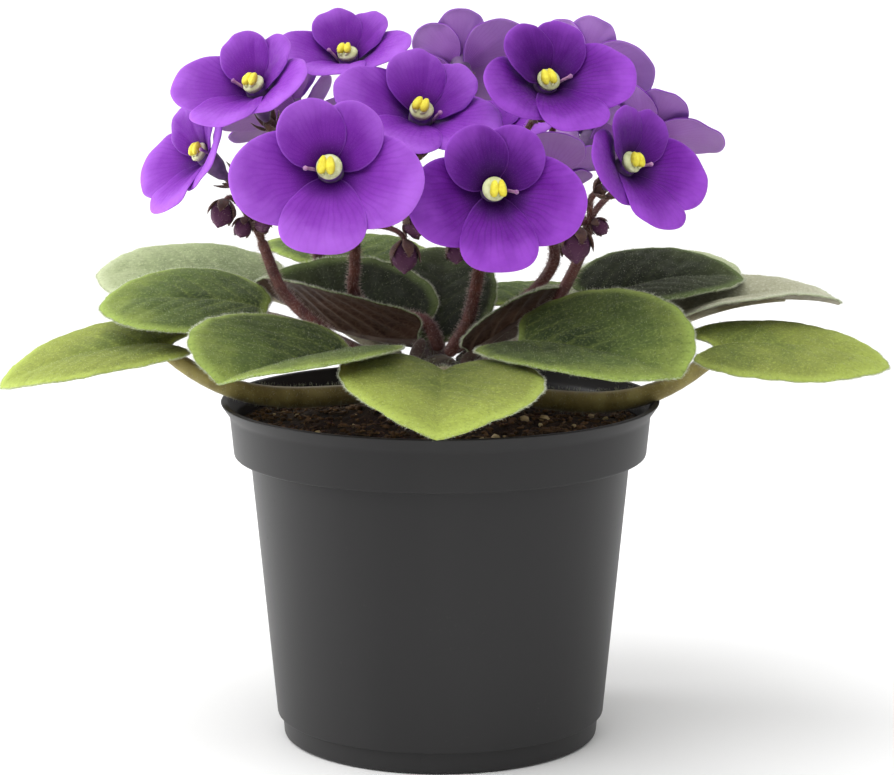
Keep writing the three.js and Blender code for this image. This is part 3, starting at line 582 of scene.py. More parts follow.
def leaf_outline(leaf, angle):
    half_length, half_width = leaf.length * (1 + leaf.lobe) / 2, leaf.width / 2
    oval = half_length * half_width / np.hypot(half_width * np.cos(angle), half_length * np.sin(angle))
    from_tip = np.minimum(angle, 2 * math.pi - angle)
    from_notch = np.abs(angle - math.pi)
    point = leaf.length * leaf.tip * np.exp(-(from_tip / TIP_WIDTH) ** 2)
    notch = leaf.length * leaf.lobe * np.exp(-(from_notch / NOTCH_WIDTH) ** 2)
    scallop = 1 - TOOTH * (1 - np.abs(np.cos(TEETH * angle / 2)))
    return (oval + point - notch) * scallop


def blade_at(leaf, along, across):
    """Points on the middle of a blade, and the way that it faces and runs there."""
    along, across = np.atleast_1d(along).astype(float), np.atleast_1d(across).astype(float)
    run, rise, end = arc(along, math.radians(leaf.pitch), -math.radians(leaf.droop) / leaf.length)
    turn = math.radians(leaf.curl) / (leaf.width / 2)
    side_run, side_rise, slope = arc(np.abs(across), math.radians(leaf.cup), turn)
    forward, level = direction(leaf.azimuth, 0), direction(leaf.azimuth + 90, 0)
    ahead = forward * column(np.cos(end)) + UP * column(np.sin(end))
    facing = np.cross(ahead, level)
    tilt = math.radians(leaf.roll)
    side = level * math.cos(tilt) + facing * math.sin(tilt)
    facing = facing * math.cos(tilt) - level * math.sin(tilt)
    point = (np.array(leaf.base, dtype=float) + forward * column(run) + UP * column(rise)
             + side * column(np.sign(across) * side_run) + facing * column(side_rise))
    lean = np.tanh(across / 1.5)
    normal = unit(facing * column(np.cos(slope)) - side * column(lean * np.sin(slope)))
    return point, normal, ahead, side


def vein_turn(leaf, along, across):
    """A place's turn from one side vein to the next, and how far out on the blade it is."""
    out = np.abs(across) / (leaf.width / 2)
    shift = (VEIN_LEAN * np.abs(across) + VEIN_BEND * out ** 2
             + np.where(across > 0, VEIN_OFFSET * VEIN_STEP, 0))
    return math.pi * (along - shift) / VEIN_STEP, out


def vein_share(leaf, along, across):
    """How near a place is to a side vein or to the midrib, from 0 to 1."""
    turn, out = vein_turn(leaf, along, across)
    veins = np.abs(np.cos(turn)) ** 6
    reach = np.clip(along / leaf.length, 0, 1)
    fade = np.clip(1.25 - out, 0, 1) * np.clip(1.35 - reach, 0, 1)
    rib = np.exp(-(across / 0.9) ** 2) * np.clip(1.15 - reach, 0, 1)
    return np.clip(np.maximum(veins * fade, rib), 0, 1)


def blade_relief(leaf, along, across, reach, point):
    """Height of the upper face: soft quilting between the veins, a sunken rib, a turned-down rim."""
    quilt = np.abs(np.sin(vein_turn(leaf, along, across)[0])) ** 0.8
    fade = np.clip(1.3 - reach ** 3, 0, 1) * np.tanh(np.abs(across) / 3)
    rib = np.exp(-(across / 1.3) ** 2) * np.clip(1.1 - along / leaf.length, 0, 1)
    lumps = ripple(point, 2.6, 11) * 0.05 + ripple(point, 9, 12) * 0.2
    return QUILT * quilt * fade - 0.1 - RIB_SINK * rib + lumps - RIM_DROP * reach ** 9


def leaf_places(leaf, angle, reach):
    radius = reach * leaf_outline(leaf, angle)
    along = leaf.length * (1 - leaf.lobe) / 2 + radius * np.cos(angle)
    return along, radius * np.sin(angle)


def upper_face(leaf, angle, reach):
    along, across = leaf_places(leaf, angle, reach)
    point, normal, ahead, side = blade_at(leaf, along, across)
    half = BLADE_THICK / 2 * (1 - 0.55 * reach ** 6)
    lift = half + blade_relief(leaf, along, across, reach, point)
    return along, across, point, normal, half, lift


def add_blade(piece, leaf):
    angle, reach = ring_places(BLADE_RINGS, BLADE_SEGMENTS, 0.9)
    along, across, point, normal, half, lift = upper_face(leaf, angle, reach)
    vein = vein_share(leaf, along, across)
    top = point + normal * column(lift)
    drop = lift - 2 * half - UNDER_RIB * vein * (1 - reach ** 4)
    bottom = point + normal * column(drop)
    add_sheet(piece, top, bottom, BLADE_RINGS, BLADE_SEGMENTS,
              along=np.clip(along / leaf.length, 0, 1), across=across, edge=reach, vein=vein)


def petiole_line(leaf):
    """Points and radii of the petiole, and of the rib that it becomes under the blade."""
    point, normal, ahead, _ = blade_at(leaf, 0, 0)
    base = point[0] - normal[0] * leaf.petiole
    out = direction(leaf.root[0], 0)
    foot = PETIOLE_FOOT * leaf.petiole
    tilt = foot * math.sin(math.radians(leaf.rise))
    root = out * (CROWN_RADIUS + GAP + tilt) + UP * leaf.root[1]
    span = np.linalg.norm(base - root)
    line = bezier(root, root + direction(leaf.root[0], leaf.rise) * span * PETIOLE_BEND,
                  base - ahead[0] * span * PETIOLE_BEND - UP * leaf.sag, base, 22)
    radii = leaf.petiole * lerp(PETIOLE_FOOT, 1.0, np.sin(np.linspace(0, math.pi, 23)))
    stops = np.array([0, 0.15, 0.4, RIB_END])
    sizes = np.array([foot] + [lerp(foot, 0.45, i / 3) for i in (1, 2, 3)])
    drops = np.array([leaf.petiole, *sizes[1:]])
    share = np.linspace(0.04, RIB_END, 12)
    rib, rib_normal, _, _ = blade_at(leaf, share * leaf.length, 0 * share)
    rib = rib - rib_normal * column(np.interp(share, stops, drops) + 0.25)
    return np.vstack([line, rib]), np.concatenate([radii, np.interp(share, stops, sizes)]), len(line)


def petiole_form(turn):
    """A petiole's section, with a shallow channel along its upper side."""
    return 1 - 0.2 * np.exp(-((np.minimum(turn, 2 * math.pi - turn)) / 0.5) ** 2)


def add_leaf_hairs(piece, leaf, count, rim_count):
    random = piece.random
    angle = random.uniform(0, 2 * math.pi, count)
    reach = np.sqrt(random.uniform(0.02, 1, count))
    _, _, point, normal, _, lift = upper_face(leaf, angle, reach)
    lean = random.normal(0, 0.35, (count, 3))
    lengths = random.uniform(0.2, 0.45, count)
    add_hairs(piece, point + normal * column(lift), unit(normal + lean), lengths, LEAF_HAIR_WIDTH)
    angle = random.uniform(0, 2 * math.pi, rim_count)
    _, _, point, normal, half, lift = upper_face(leaf, angle, np.ones(rim_count))
    inner = upper_face(leaf, angle, np.full(rim_count, 0.94))[2]
    out = unit(point - inner)
    where = point + normal * column(lift - half * random.uniform(0, 2, rim_count))
    lean = random.normal(0, 0.3, (rim_count, 3)) + normal * column(random.uniform(-0.3, 0.8, rim_count))
    lengths = random.uniform(0.4, 1.1, rim_count)
    add_hairs(piece, where, unit(out + lean), lengths, RIM_HAIR_WIDTH)


def make_leaf(leaf, index):
    piece = Piece("fine_leaf_" + leaf.name, 100 + index)
    add_blade(piece, leaf)
    line, radii, bare = petiole_line(leaf)
    add_rod(piece, line, radii, 16, 2, side=UP, ridge=petiole_form)
    if leaf.name in HIDDEN_LEAVES:
        add_leaf_hairs(piece, leaf, HIDDEN_HAIRS, HIDDEN_RIM_HAIRS)
    else:
        add_leaf_hairs(piece, leaf, LEAF_HAIRS, RIM_HAIRS)
    add_rod_hairs(piece, line[:bare], radii[:bare], PETIOLE_HAIRS)
    # Leaves in shade or in sheen take their painted-light look; the slot keeps the leaf's own tone.
    tops, unders, petioles = LEAF_FINISHES[PAINTED_LIGHT_LEAF_LOOKS.get(leaf.name, leaf.tone)]
    piece.place([tops, unders, petioles, LEAF_HAIR], "leaf_" + leaf.tone)


# ---- Flowers ----

Flower = namedtuple("Flower", "at face roll size upper lower spray")
FLOWERS = [
    Flower((-43, -25, 160.5), (-122, 48), -1, 0.98, 38, 33, 0),
    Flower((-22, -6.5, 166.5), (-106, 56), -2, 0.93, 33, 38, 1),
    Flower((-54.5, -20, 145), (-151, 31), -15, 0.91, 40, 28, 0),
    Flower((-25, -50, 144.5), (-94, 22), 2, 1.13, 26, 32, 1),
    Flower((-5.5, -25, 154), (-84, 48), 24, 1.08, 32, 35, 2),
    Flower((12, -45, 140), (-83, 13), 0, 1.06, 22, 36, 2),
    Flower((25, -20, 161.5), (-71, 35), -8, 1.05, 32, 40, 2),
    Flower((42.5, -25, 143), (-45, 28), 10, 1.0, 40, 32, 3),
    Flower((6, 22, 164.5), (92, 30), 30, 0.9, 28, 30, 4),
    Flower((34, 17, 163), (70, 26), 4, 0.92, 28, 30, 4),
    Flower((50.5, 7, 148), (50, 50), -20, 0.93, 28, 30, 3),
    Flower((-36, 14, 154), (140, 40), 0, 0.95, 28, 30, 5),
    Flower((11, 2, 148), (-90, 70), 0, 0.85, 28, 30, 4),
    Flower((27, -2, 139), (80, 60), 90, 0.8, 28, 30, 3),
    Flower((38, 38, 144), (50, 34), 0, 0.95, 28, 30, 4),
    Flower((-14, 36, 148), (110, 34), 0, 0.95, 28, 30, 5),
]
# shade is painted shade over the whole lobe, from 0 to 1: the two upper lobes and the left side lobe are
# painted darker, where shade falls on them.
Lobe = namedtuple("Lobe", "turn length width layer spread shade")
LOBES = [Lobe(-111, 21.4, 20.5, 0, 0.3, 0.35), Lobe(111, 21.4, 20.5, 0, 0.3, 0.0),
         Lobe(180, 21, 26, 0.9, -0.5, 0.1), Lobe(32, 14.6, 15, 1.8, 0.16, 0.7),
         Lobe(-32, 14.6, 15, 2.7, 0.16, 0.8)]
LOBE_RINGS, LOBE_SEGMENTS, CREASE_DEPTH = 11, 52, 0.35
LOBE_ROOT, LOBE_FULLNESS = 1.4, 0.84
BOWL_LEAN, BOWL_TURN, BOWL_REACH = 10, 26, 21
THROAT_LIFT = 2.1
TUBE_FRONT = 5.4
TUBE_OUTS = vec(-4.3, -3, -1.6, -0.6, 1, 2.6, 3.8, 4.4, 4.8)
TUBE_RADII = vec(1.1, 1.7, 2.3, 2.65, 2.7, 2.72, 2.66, 2.5, 2.2)
BOSS_OUTS, BOSS_RADII = vec(-0.3, 0, 0.3, 0.6, 0.9, 1.1), vec(2.6, 2.7, 2.6, 2.3, 1.8, 1.2)
DARK_FLOWERS = (5, 6, 7, 10)
STYLE_LEFT = (0, 1, 3, 8, 11)


class Face:
    """A flower's own axes: right, up and out of its face."""

    def __init__(self, at, face, roll, size):
        self.at, self.size = np.array(at, dtype=float), size
        self.out = direction(*face)
        up = unit(UP - self.out * self.out[2])
        tilt = -math.radians(roll)
        self.up = up * math.cos(tilt) + np.cross(self.out, up) * math.sin(tilt)
        self.right = np.cross(self.up, self.out)

    def point(self, right, up, out):
        place = column(right) * self.right + column(up) * self.up + column(out) * self.out
        return self.at + place * self.size


def lobe_surface(flower, face, lobe, angle, reach, seed):
    """Points of a lobe's middle surface, how far each lies from the throat, and its turn in the lobe."""
    half = lobe.length / 2
    along = LOBE_ROOT + half + half * reach * np.cos(angle)
    full = np.sign(np.sin(angle)) * np.abs(np.sin(angle)) ** LOBE_FULLNESS
    across = -(lobe.width / 2) * reach * full * (1 + lobe.spread * (1 - np.cos(angle)) / 2)
    turn = math.radians(lobe.turn) + np.arctan2(across, along)
    lean = np.radians(lerp(flower.lower, flower.upper, (1 + np.cos(turn)) / 2) + BOWL_LEAN)
    far = np.hypot(along, across)
    run, rise, _ = arc(far, lean, -math.radians(BOWL_TURN) / BOWL_REACH)
    waves = np.sin(5 * angle + seed) + 0.6 * np.sin(8 * angle + 2.3 * seed)
    ruffle = 0.2 * reach ** 4 * waves * np.clip(far / 12, 0, 1)
    fold = 0.12 * np.cos(across * 1.6 + seed) * reach * np.clip(1.3 - far / 16, 0, 1)
    middle_only = np.exp(-((far - 9) / 5) ** 2)
    crease = CREASE_DEPTH * middle_only * np.exp(-((np.abs(across) - 0.34 * far) / 0.9) ** 2)
    rise = rise + lobe.layer + ruffle + fold - crease - 0.55 * reach ** 8
    points = face.point(run * np.sin(turn), run * np.cos(turn) + THROAT_LIFT, rise)
    return points, far / (lobe.length + LOBE_ROOT), np.arctan2(across, along)


def sheet_normals(points, rings, segments):
    grid = points[1:].reshape(rings, segments, 3)
    across = np.roll(grid, -1, 1) - np.roll(grid, 1, 1)
    out = np.gradient(np.concatenate([np.broadcast_to(points[0], (1, segments, 3)), grid]), axis=0)[1:]
    normals = unit(np.cross(out, across)).reshape(-1, 3)
    return np.vstack([unit(normals[:segments].mean(0)), normals])


def add_lobe(piece, flower, face, lobe, seed):
    angle, reach = ring_places(LOBE_RINGS, LOBE_SEGMENTS, 0.85)
    points, far, veins = lobe_surface(flower, face, lobe, angle, reach, seed)
    normals = sheet_normals(points, LOBE_RINGS, LOBE_SEGMENTS)
    half = 0.3 * (1 - 0.5 * reach ** 5)
    # Each corner's across value holds the lobe's painted shade.
    add_sheet(piece, points + normals * column(half), points - normals * column(half),
              LOBE_RINGS, LOBE_SEGMENTS,
              along=far, across=np.full(len(far), lobe.shade), edge=reach, vein=veins)


def make_corolla(flower, index):
    piece = Piece("fine_corolla_%02d" % (index + 1), 200 + index)
    face = Face(flower.at, flower.face, flower.roll, flower.size)
    for number, lobe in enumerate(LOBES):
        add_lobe(piece, flower, face, lobe, 1.7 * index + 2.1 * number)
    size = flower.size
    tube = face.point(0, THROAT_LIFT * np.clip((TUBE_OUTS + 3) / 6, 0, 1), TUBE_OUTS)
    add_rod(piece, tube, TUBE_RADII * size, 24, 2)
    side = -1 if index in STYLE_LEFT else 1
    share = np.linspace(0, 1, 7)
    rights = side * (2.6 + 2.0 * share ** 1.2)
    style = face.point(rights, THROAT_LIFT + 0.2 - 1.2 * share, 2.4 + 5.2 * share)
    add_rod(piece, style, np.interp(share, [0, 0.85, 1], [0.4, 0.36, 0.55]) * size, 8, 3)
    fronts = PETALS["petal_deep" if index in DARK_FLOWERS else "petal_violet"]
    piece.place([fronts, PETALS["petal_back"], TUBE_FINISH, SPECKLED["style"]], "petals")


def add_anther(piece, face, side, shift, middle_out):
    """One pillow-shaped anther with a seam along it, dusted with pollen."""
    rows, sides = 12, 18
    lift, turn = np.meshgrid(np.linspace(-math.pi / 2, math.pi / 2, rows), turns(sides), indexing="ij")
    x = np.cos(lift) * np.cos(turn)
    z = np.cos(lift) * np.sin(turn)
    y = np.sin(lift)
    seam = 1 - 0.22 * np.exp(-(x / 0.28) ** 2) * (z > 0)
    right = shift + side * (0.85 - 0.16 * y) + 0.98 * x * (1 - 0.2 * y)
    up = THROAT_LIFT - 0.1 + 1.95 * y
    points = face.point(right.ravel(), up.ravel(), (middle_out + 1.2 * z * seam).ravel())
    points = points + unit(points - points.mean(0)) * column(ripple(points, 0.8, 31) * 0.06)
    faces = []
    for row in range(rows - 1):
        faces += band_faces(row * sides, (row + 1) * sides, sides)
    piece.add(points, faces, 1, edge=(1 - np.exp(-(x / 0.2) ** 2)).ravel())


def make_stamens(flower, index):
    piece = Piece("fine_stamens_%02d" % (index + 1), 300 + index)
    face = Face(flower.at, flower.face, flower.roll, flower.size)
    start = TUBE_FRONT + 0.3 / flower.size
    boss = face.point(0, THROAT_LIFT, start + BOSS_OUTS)
    add_rod(piece, boss, BOSS_RADII * flower.size, 26, 0)
    shift = -0.7 * math.sin(2.3 * index)
    for side in (-1, 1):
        share = np.linspace(0, 1, 7)
        bow = face.point(shift + side * (0.6 + 0.9 * np.sin(share * 2.6)), THROAT_LIFT - 1.9 + 1.4 * share,
                         start + 1.0 + 1.2 * share)
        add_rod(piece, bow, 0.38 * flower.size, 8, 0)
        add_anther(piece, face, side, shift, start + 1.75)
    piece.place([SPECKLED["stamen_foot"], SPECKLED["anther"]], "stamens")


# ---- Sprays ----

Bud = namedtuple("Bud", "at tip radius spray")
BUDS = [
    Bud((-53, -14, 133.5), (-110, -50), 2.9, 0),
    Bud((-48, -14, 130), (-100, -40), 2.2, 0),
    Bud((-43, -16, 131), (-90, -20), 1.9, 0),
    Bud((-8.5, -22, 124), (-90, -60), 3.2, 1),
    Bud((-6, -20, 131), (-60, -20), 2.6, 1),
    Bud((4, -14, 124), (-90, -50), 2.4, 2),
    Bud((33, -16, 126), (-90, -55), 3.6, 3),
    Bud((39, -12, 130), (-50, -30), 2.0, 3),
]
SPRAYS = [
    ("spray_left", [(-4.9, -3.3, 92), (-21.8, -9.5, 99), (-29, -11, 104.6), (-38.4, -9.5, 113.6),
                    (-43.6, -8, 125.5)]),
    ("spray_front_left", [(-0.5, 0.8, 98.4), (-2.6, 0.8, 103.4), (-6, 1.9, 105.4), (-18, 5, 107.2),
                          (-21.5, -1, 112.5), (-21, -7, 120), (-20.7, -14, 129)]),
    ("spray_middle", [(2.5, -4.5, 98), (6.5, -8, 105.5), (8.2, -10, 112), (9.5, -15, 121), (9.8, -20, 130)]),
    ("spray_right", [(5, -4, 91), (18, -9, 98), (25.8, -7.6, 106), (34, -6, 121), (36.5, -10, 131)]),
    ("spray_back_right", [(4, 4.5, 97.5), (15.5, 14, 104), (23, 16, 109.5), (28.4, 15, 117),
                          (28.5, 13, 124), (26, 13, 138)]),
    ("spray_back_left", [(-4.2, 6, 85), (-14, 17, 97), (-25, 29, 104), (-31, 31, 115), (-31, 28, 123),
                         (-27, 20, 138)]),
]
STALK_RADII, PEDICEL_RADIUS = (1.6, 1.3), 0.8
STALK_HAIRS, PEDICEL_HAIRS, BUD_HAIRS = (42, 1.25, 0.07), (25, 1.0, 0.065), (16, 0.7, 0.07)
SEPAL_STEPS, SEPAL_BOW, SEPAL_HAIR_WIDTH = 8, 0.35, 0.08
CUP_OUTS, CUP_RADII = vec(-8.0, -7.4, -6.7, -6.0, -5.4), vec(0.8, 1.1, 1.35, 1.5, 1.35)
BUD_OUTS = vec(-1, -0.8, -0.55, -0.3, 0, 0.3, 0.5, 0.75, 1.0, 1.2, 1.3)
BUD_RADII = vec(0.4, 0.7, 0.9, 1.0, 1.02, 0.97, 0.9, 0.72, 0.48, 0.25, 0.15)


def add_sepal(piece, face, turn, scale, base_out, tip_out, base_radius, tip_radius):
    """A narrow pointed sepal that bows out from the foot of a flower or bud."""
    share = np.linspace(0, 1, SEPAL_STEPS + 1)
    radius = lerp(base_radius, tip_radius, share ** 0.9) + SEPAL_BOW * scale * np.sin(math.pi * share)
    out = lerp(base_out, tip_out, share)
    points = face.point(radius * math.sin(turn), radius * math.cos(turn), out)
    width = scale * np.interp(share, [0, 0.3, 0.65, 1], [0.7, 1.05, 0.75, 0.08]) * face.size
    away = math.sin(turn) * face.right + math.cos(turn) * face.up
    add_rod(piece, points, width, 10, 1, flat=0.32, side=away)
    count = int(26 * scale) + 8
    where = piece.random.uniform(0, SEPAL_STEPS, count)
    low = where.astype(int)
    middle = lerp(points[low], points[np.minimum(low + 1, SEPAL_STEPS)], column(where - low))
    across = np.cross(away, face.out)
    edge = column(piece.random.choice([-1.0, 1.0], count))
    ways = unit(across * edge + away * 0.7 + piece.random.normal(0, 0.35, (count, 3)))
    lengths = piece.random.uniform(0.4, 0.95, count)
    add_hairs(piece, middle + across * edge * column(width[low] * 0.7), ways, lengths, SEPAL_HAIR_WIDTH)


def add_calyx(piece, face):
    add_rod(piece, face.point(0, 0, CUP_OUTS), CUP_RADII * face.size, 14, 1)
    for turn in turns(5):
        add_sepal(piece, face, turn, 1.0, -7.6, -2.8, 0.9, 3.8)


def add_bud(piece, bud, start, leave):
    """A closed bud of folded petals in its star of sepals, on its own thin stalk."""
    face = Face(bud.at, bud.tip, 0, bud.radius)
    radii = BUD_RADII * bud.radius

    def folds(turn):
        return 1 - 0.09 * np.abs(np.cos(2.5 * turn)) ** 3

    middle = face.point(0, 0, BUD_OUTS)
    add_rod(piece, middle, radii, 30, 2, ridge=folds)
    for turn in turns(5) + 0.3:
        add_sepal(piece, face, turn, 0.5, -1.05, 0.5, 0.55, 1.16)
    end = face.point(0, 0, -1.2)
    add_pedicel(piece, start, leave, end, face.out, 0.85)
    add_rod_hairs(piece, middle, radii * 0.97, BUD_HAIRS)


def add_pedicel(piece, start, leave, end, arrive, keep=1.0):
    span = np.linalg.norm(end - start)
    line = bezier(start, start + leave * span * 0.35, end - arrive * span * 0.35, end, 18)
    swell = np.interp(np.linspace(0, 1, 19), [0, 0.12, 0.9, 1], [1.2, 1.0, 0.95, 1.15])
    radii = PEDICEL_RADIUS * keep * swell
    add_rod(piece, line, radii, 10, 0)
    add_rod_hairs(piece, line, radii, PEDICEL_HAIRS)


def make_spray(number):
    name, path = SPRAYS[number]
    piece = Piece("fine_" + name, 400 + number)
    line = smooth_line(path, 12)
    share = np.linspace(0, 1, len(line))
    radii = lerp(*STALK_RADII, share) * (1 + 0.03 * np.sin(share * 23))
    add_rod(piece, line, radii, 18, 0)
    add_rod_hairs(piece, line, radii, STALK_HAIRS)
    leave = unit(vec(*path[-1]) - vec(*path[-2]))
    start = vec(*path[-1]) - leave
    for flower in FLOWERS:
        if flower.spray == number:
            face = Face(flower.at, flower.face, flower.roll, flower.size)
            add_calyx(piece, face)
            add_pedicel(piece, start, leave, face.point(0, 0, -7.2), face.out)
    for bud in BUDS:
        if bud.spray == number:
            add_bud(piece, bud, start, leave)
    piece.place([SPECKLED["stalk"], SPECKLED["sepal"], PETALS["bud_petal"], STALK_HAIR], "stalks")


# ---- Pot, soil and crown ----

POT_SEGMENTS = 160
POT_PROFILE = [
    (0, 4.5), (37.8, 4.5), (37.8, 0), (39.6, 0), (40.1, 5.5), (41.3, 5.5), (47.6, 71.7), (51.6, 71.7),
    (52.6, 81.9), (55.0, 85.4), (53.2, 85.4), (50.8, 81.9), (49.8, 73.5), (45.8, 71.7), (39.5, 6.6),
    (0, 6.6),
]
NOTCH_TURNS, NOTCH_HALF, NOTCH_TOP, NOTCH_CORNER = (-87, 33, 153), 6.5, 4.2, 1.4
HOLE_COUNT, HOLE_RADIUS, HOLE_CIRCLE = 6, 4.2, 29
SOIL_TOP_RADIUS, SOIL_EDGE, SOIL_CENTRE = 50.3, 79.6, 82.8
SOIL_SIDE = ((49.5, 73.9), (45.5, 71.7), (39.2, 6.9))


def rounded(profile, radius):
    """A profile with each corner between its ends rounded off."""
    points = [vec(*profile[0])]
    for before, corner, after in zip(profile, profile[1:], profile[2:]):
        before, corner, after = vec(*before), vec(*corner), vec(*after)
        cut = min(radius, np.linalg.norm(before - corner) / 3, np.linalg.norm(after - corner) / 3)
        start = corner + unit(before - corner) * cut
        end = corner + unit(after - corner) * cut
        for t in np.linspace(0, 1, 4):
            points.append(start * (1 - t) ** 2 + 2 * corner * t * (1 - t) + end * t * t)
    points.append(vec(*profile[-1]))
    return np.array(points)


def lathe_mesh(piece, profile, segments, ripples=None):
    """A closed turned form, from a profile that starts and ends on the axis."""
    turn = turns(segments)
    inner = profile[1:-1]
    radius = np.repeat(inner[:, :1], segments, 1)
    height = np.repeat(inner[:, 1:], segments, 1)
    if ripples:
        radius, height = ripples(radius, height, turn[None])
    points = around(radius, turn, height).reshape(-1, 3)
    first, last = len(points), len(points) + 1
    points = np.vstack([points, [0, 0, profile[0][1]], [0, 0, profile[-1][1]]])
    faces = fan_faces(first, 0, segments, turned=True)
    end = (len(inner) - 1) * segments
    for start in range(0, end, segments):
        faces += band_faces(start, start + segments, segments, turned=True)
    faces += fan_faces(last, end, segments)
    piece.add(points, faces)


def prism(outline, place):
    """A closed prism: its outline at both ends, each corner placed by place(x, y, end)."""
    count = len(outline)
    points = np.array([place(x, y, end) for end in (0, 1) for x, y in outline])
    sides = [[i, (i + 1) % count, count + (i + 1) % count, count + i] for i in range(count)]
    mesh = bpy.data.meshes.new("cutter")
    caps = [list(range(count))[::-1], list(range(count, 2 * count))]
    mesh.from_pydata((points * MM).tolist(), [], sides + caps)
    return put("cutter", mesh)


def pot_cutters():
    """The notches in the foot ring and the drain holes, each as a form to take away."""
    corner, low = NOTCH_HALF - NOTCH_CORNER, NOTCH_TOP - NOTCH_CORNER
    outline = [(-NOTCH_HALF, -1), (NOTCH_HALF, -1), (NOTCH_HALF, low)]
    quarter = np.linspace(0, math.pi / 2, 5)
    for middle, bend in ((corner, quarter[1:]), (-corner, quarter[:-1] + math.pi / 2)):
        for turn in bend:
            outline.append((middle + NOTCH_CORNER * math.cos(turn), low + NOTCH_CORNER * math.sin(turn)))
    outline.append((-NOTCH_HALF, low))
    for turn in NOTCH_TURNS:
        out, side = direction(turn, 0), direction(turn + 90, 0)
        yield prism(outline, lambda x, y, end: out * (44.6 - 10 * end) + side * x + UP * y)
    circle = [(math.cos(t), math.sin(t)) for t in turns(28)]
    for i in range(HOLE_COUNT):
        middle = direction((i + 0.5) / HOLE_COUNT * 360, 0) * HOLE_CIRCLE
        yield prism(circle, lambda x, y, end: middle + vec(x, y, 0) * HOLE_RADIUS + UP * (10 * end + 0.5))


def make_pot():
    piece = Piece("fine_pot")
    lathe_mesh(piece, rounded(POT_PROFILE, 0.7), POT_SEGMENTS)
    pot = piece.place([POT_FINISH], "pot")
    cutters = list(pot_cutters())
    for cutter in cutters:
        cut = pot.modifiers.new("cut", "BOOLEAN")
        cut.object, cut.operation, cut.solver = cutter, "DIFFERENCE", "EXACT"
    bpy.context.view_layer.update()
    cut_mesh = bpy.data.meshes.new_from_object(pot.evaluated_get(bpy.context.evaluated_depsgraph_get()))
    pot.modifiers.clear()
    pot.data = cut_mesh
    for cutter in cutters:
        bpy.data.objects.remove(cutter)


def soil_height(x, y):
    reach = np.clip(np.hypot(x, y) / SOIL_TOP_RADIUS, 0, 1)
    angle = np.arctan2(y, x)
    mound = (1 + np.cos(math.pi * reach)) / 2
    crumbs = np.sin(7 * angle + 9 * reach) * np.cos(5 * angle - 13 * reach)
    return SOIL_EDGE + (SOIL_CENTRE - SOIL_EDGE) * mound + 0.9 * crumbs * np.sin(math.pi * reach)


def ico_corners():
    """The 12 corners of an icosahedron."""
    golden = (1 + math.sqrt(5)) / 2
    signs = [(x, y) for x in (-1, 1) for y in (-1, 1)]
    corners = [(x, y * golden, 0) for x, y in signs] + [(0, x, y * golden) for x, y in signs]
    corners += [(x * golden, 0, y) for x, y in signs]
    return unit(np.array(corners, dtype=float))


def ico_faces(corners):
    """Its 20 faces, each turned outwards."""
    near = np.linalg.norm(corners[:, None] - corners[None], axis=2) < 1.1
    faces = []
    for a, b, c in combinations(range(12), 3):
        if near[a, b] and near[b, c] and near[a, c]:
            out = np.cross(corners[b] - corners[a], corners[c] - corners[a]) @ corners[a]
            faces.append([a, b, c] if out > 0 else [a, c, b])
    return faces


ICO_CORNERS = ico_corners()
ICO_FACES = ico_faces(ICO_CORNERS)


def add_crumb(piece, middle, size, slot, stretch):
    """One uneven grain, turned at random."""
    turn = piece.random.uniform(0, 6)
    uneven = 1 + piece.random.uniform(-0.3, 0.3, 12)
    points = ICO_CORNERS * column(uneven) * np.array(stretch) * size
    spin = np.array([[math.cos(turn), -math.sin(turn), 0], [math.sin(turn), math.cos(turn), 0], [0, 0, 1]])
    piece.add(points @ spin.T + middle, ICO_FACES, slot, along=0.5)


def soil_spot(random, low, high):
    """A random place on the soil, between two shares of its area."""
    reach, turn = math.sqrt(random.uniform(low, high)), random.uniform(0, 2 * math.pi)
    x, y = SOIL_TOP_RADIUS * reach * math.cos(turn), SOIL_TOP_RADIUS * reach * math.sin(turn)
    return vec(x, y, soil_height(x, y))


CRUMBS, BARK_FIBRES, SMALL_PERLITE = 2200, 130, 45
PERLITE = [(-41, 24, 1.5), (-39.5, 25.5, 1.0), (21, -9, 1.3), (26, -7, 1.4), (13.5, -27, 1.2),
           (10, -31, 0.9), (33, -12, 0.8), (-30, -18, 0.9), (38, 6, 0.9), (-22, 30, 1.2), (5, 40, 1.3),
           (30, 28, 1.1), (-8, -36, 0.8), (42, -14, 0.7), (-36, 2, 0.8)]


def add_soil_body(piece):
    rings, segments = 34, 120
    angle, reach = ring_places(rings, segments)
    x, y = SOIL_TOP_RADIUS * reach * np.cos(angle), SOIL_TOP_RADIUS * reach * np.sin(angle)
    top = np.stack([x, y, soil_height(x, y)], 1)
    rough = ripple(top * vec(1, 1, 0), 2.4, 41) * 0.35 + ripple(top * vec(1, 1, 0), 1.2, 42) * 0.25
    top[:, 2] += rough * (1 - reach ** 12)
    piece.add(top, ring_faces(rings, segments), 0)
    under = [around(radius, turns(segments), height) for radius, height in SOIL_SIDE]
    starts = [step * segments for step in range(-1, len(SOIL_SIDE))]
    faces = []
    for a, b in zip(starts, starts[1:]):
        faces += band_faces(a, b, segments)
    faces += fan_faces(len(SOIL_SIDE) * segments, starts[-1], segments, turned=True)
    piece.add(np.vstack(under + [vec(0, 0, SOIL_SIDE[-1][1])]), faces, 0)


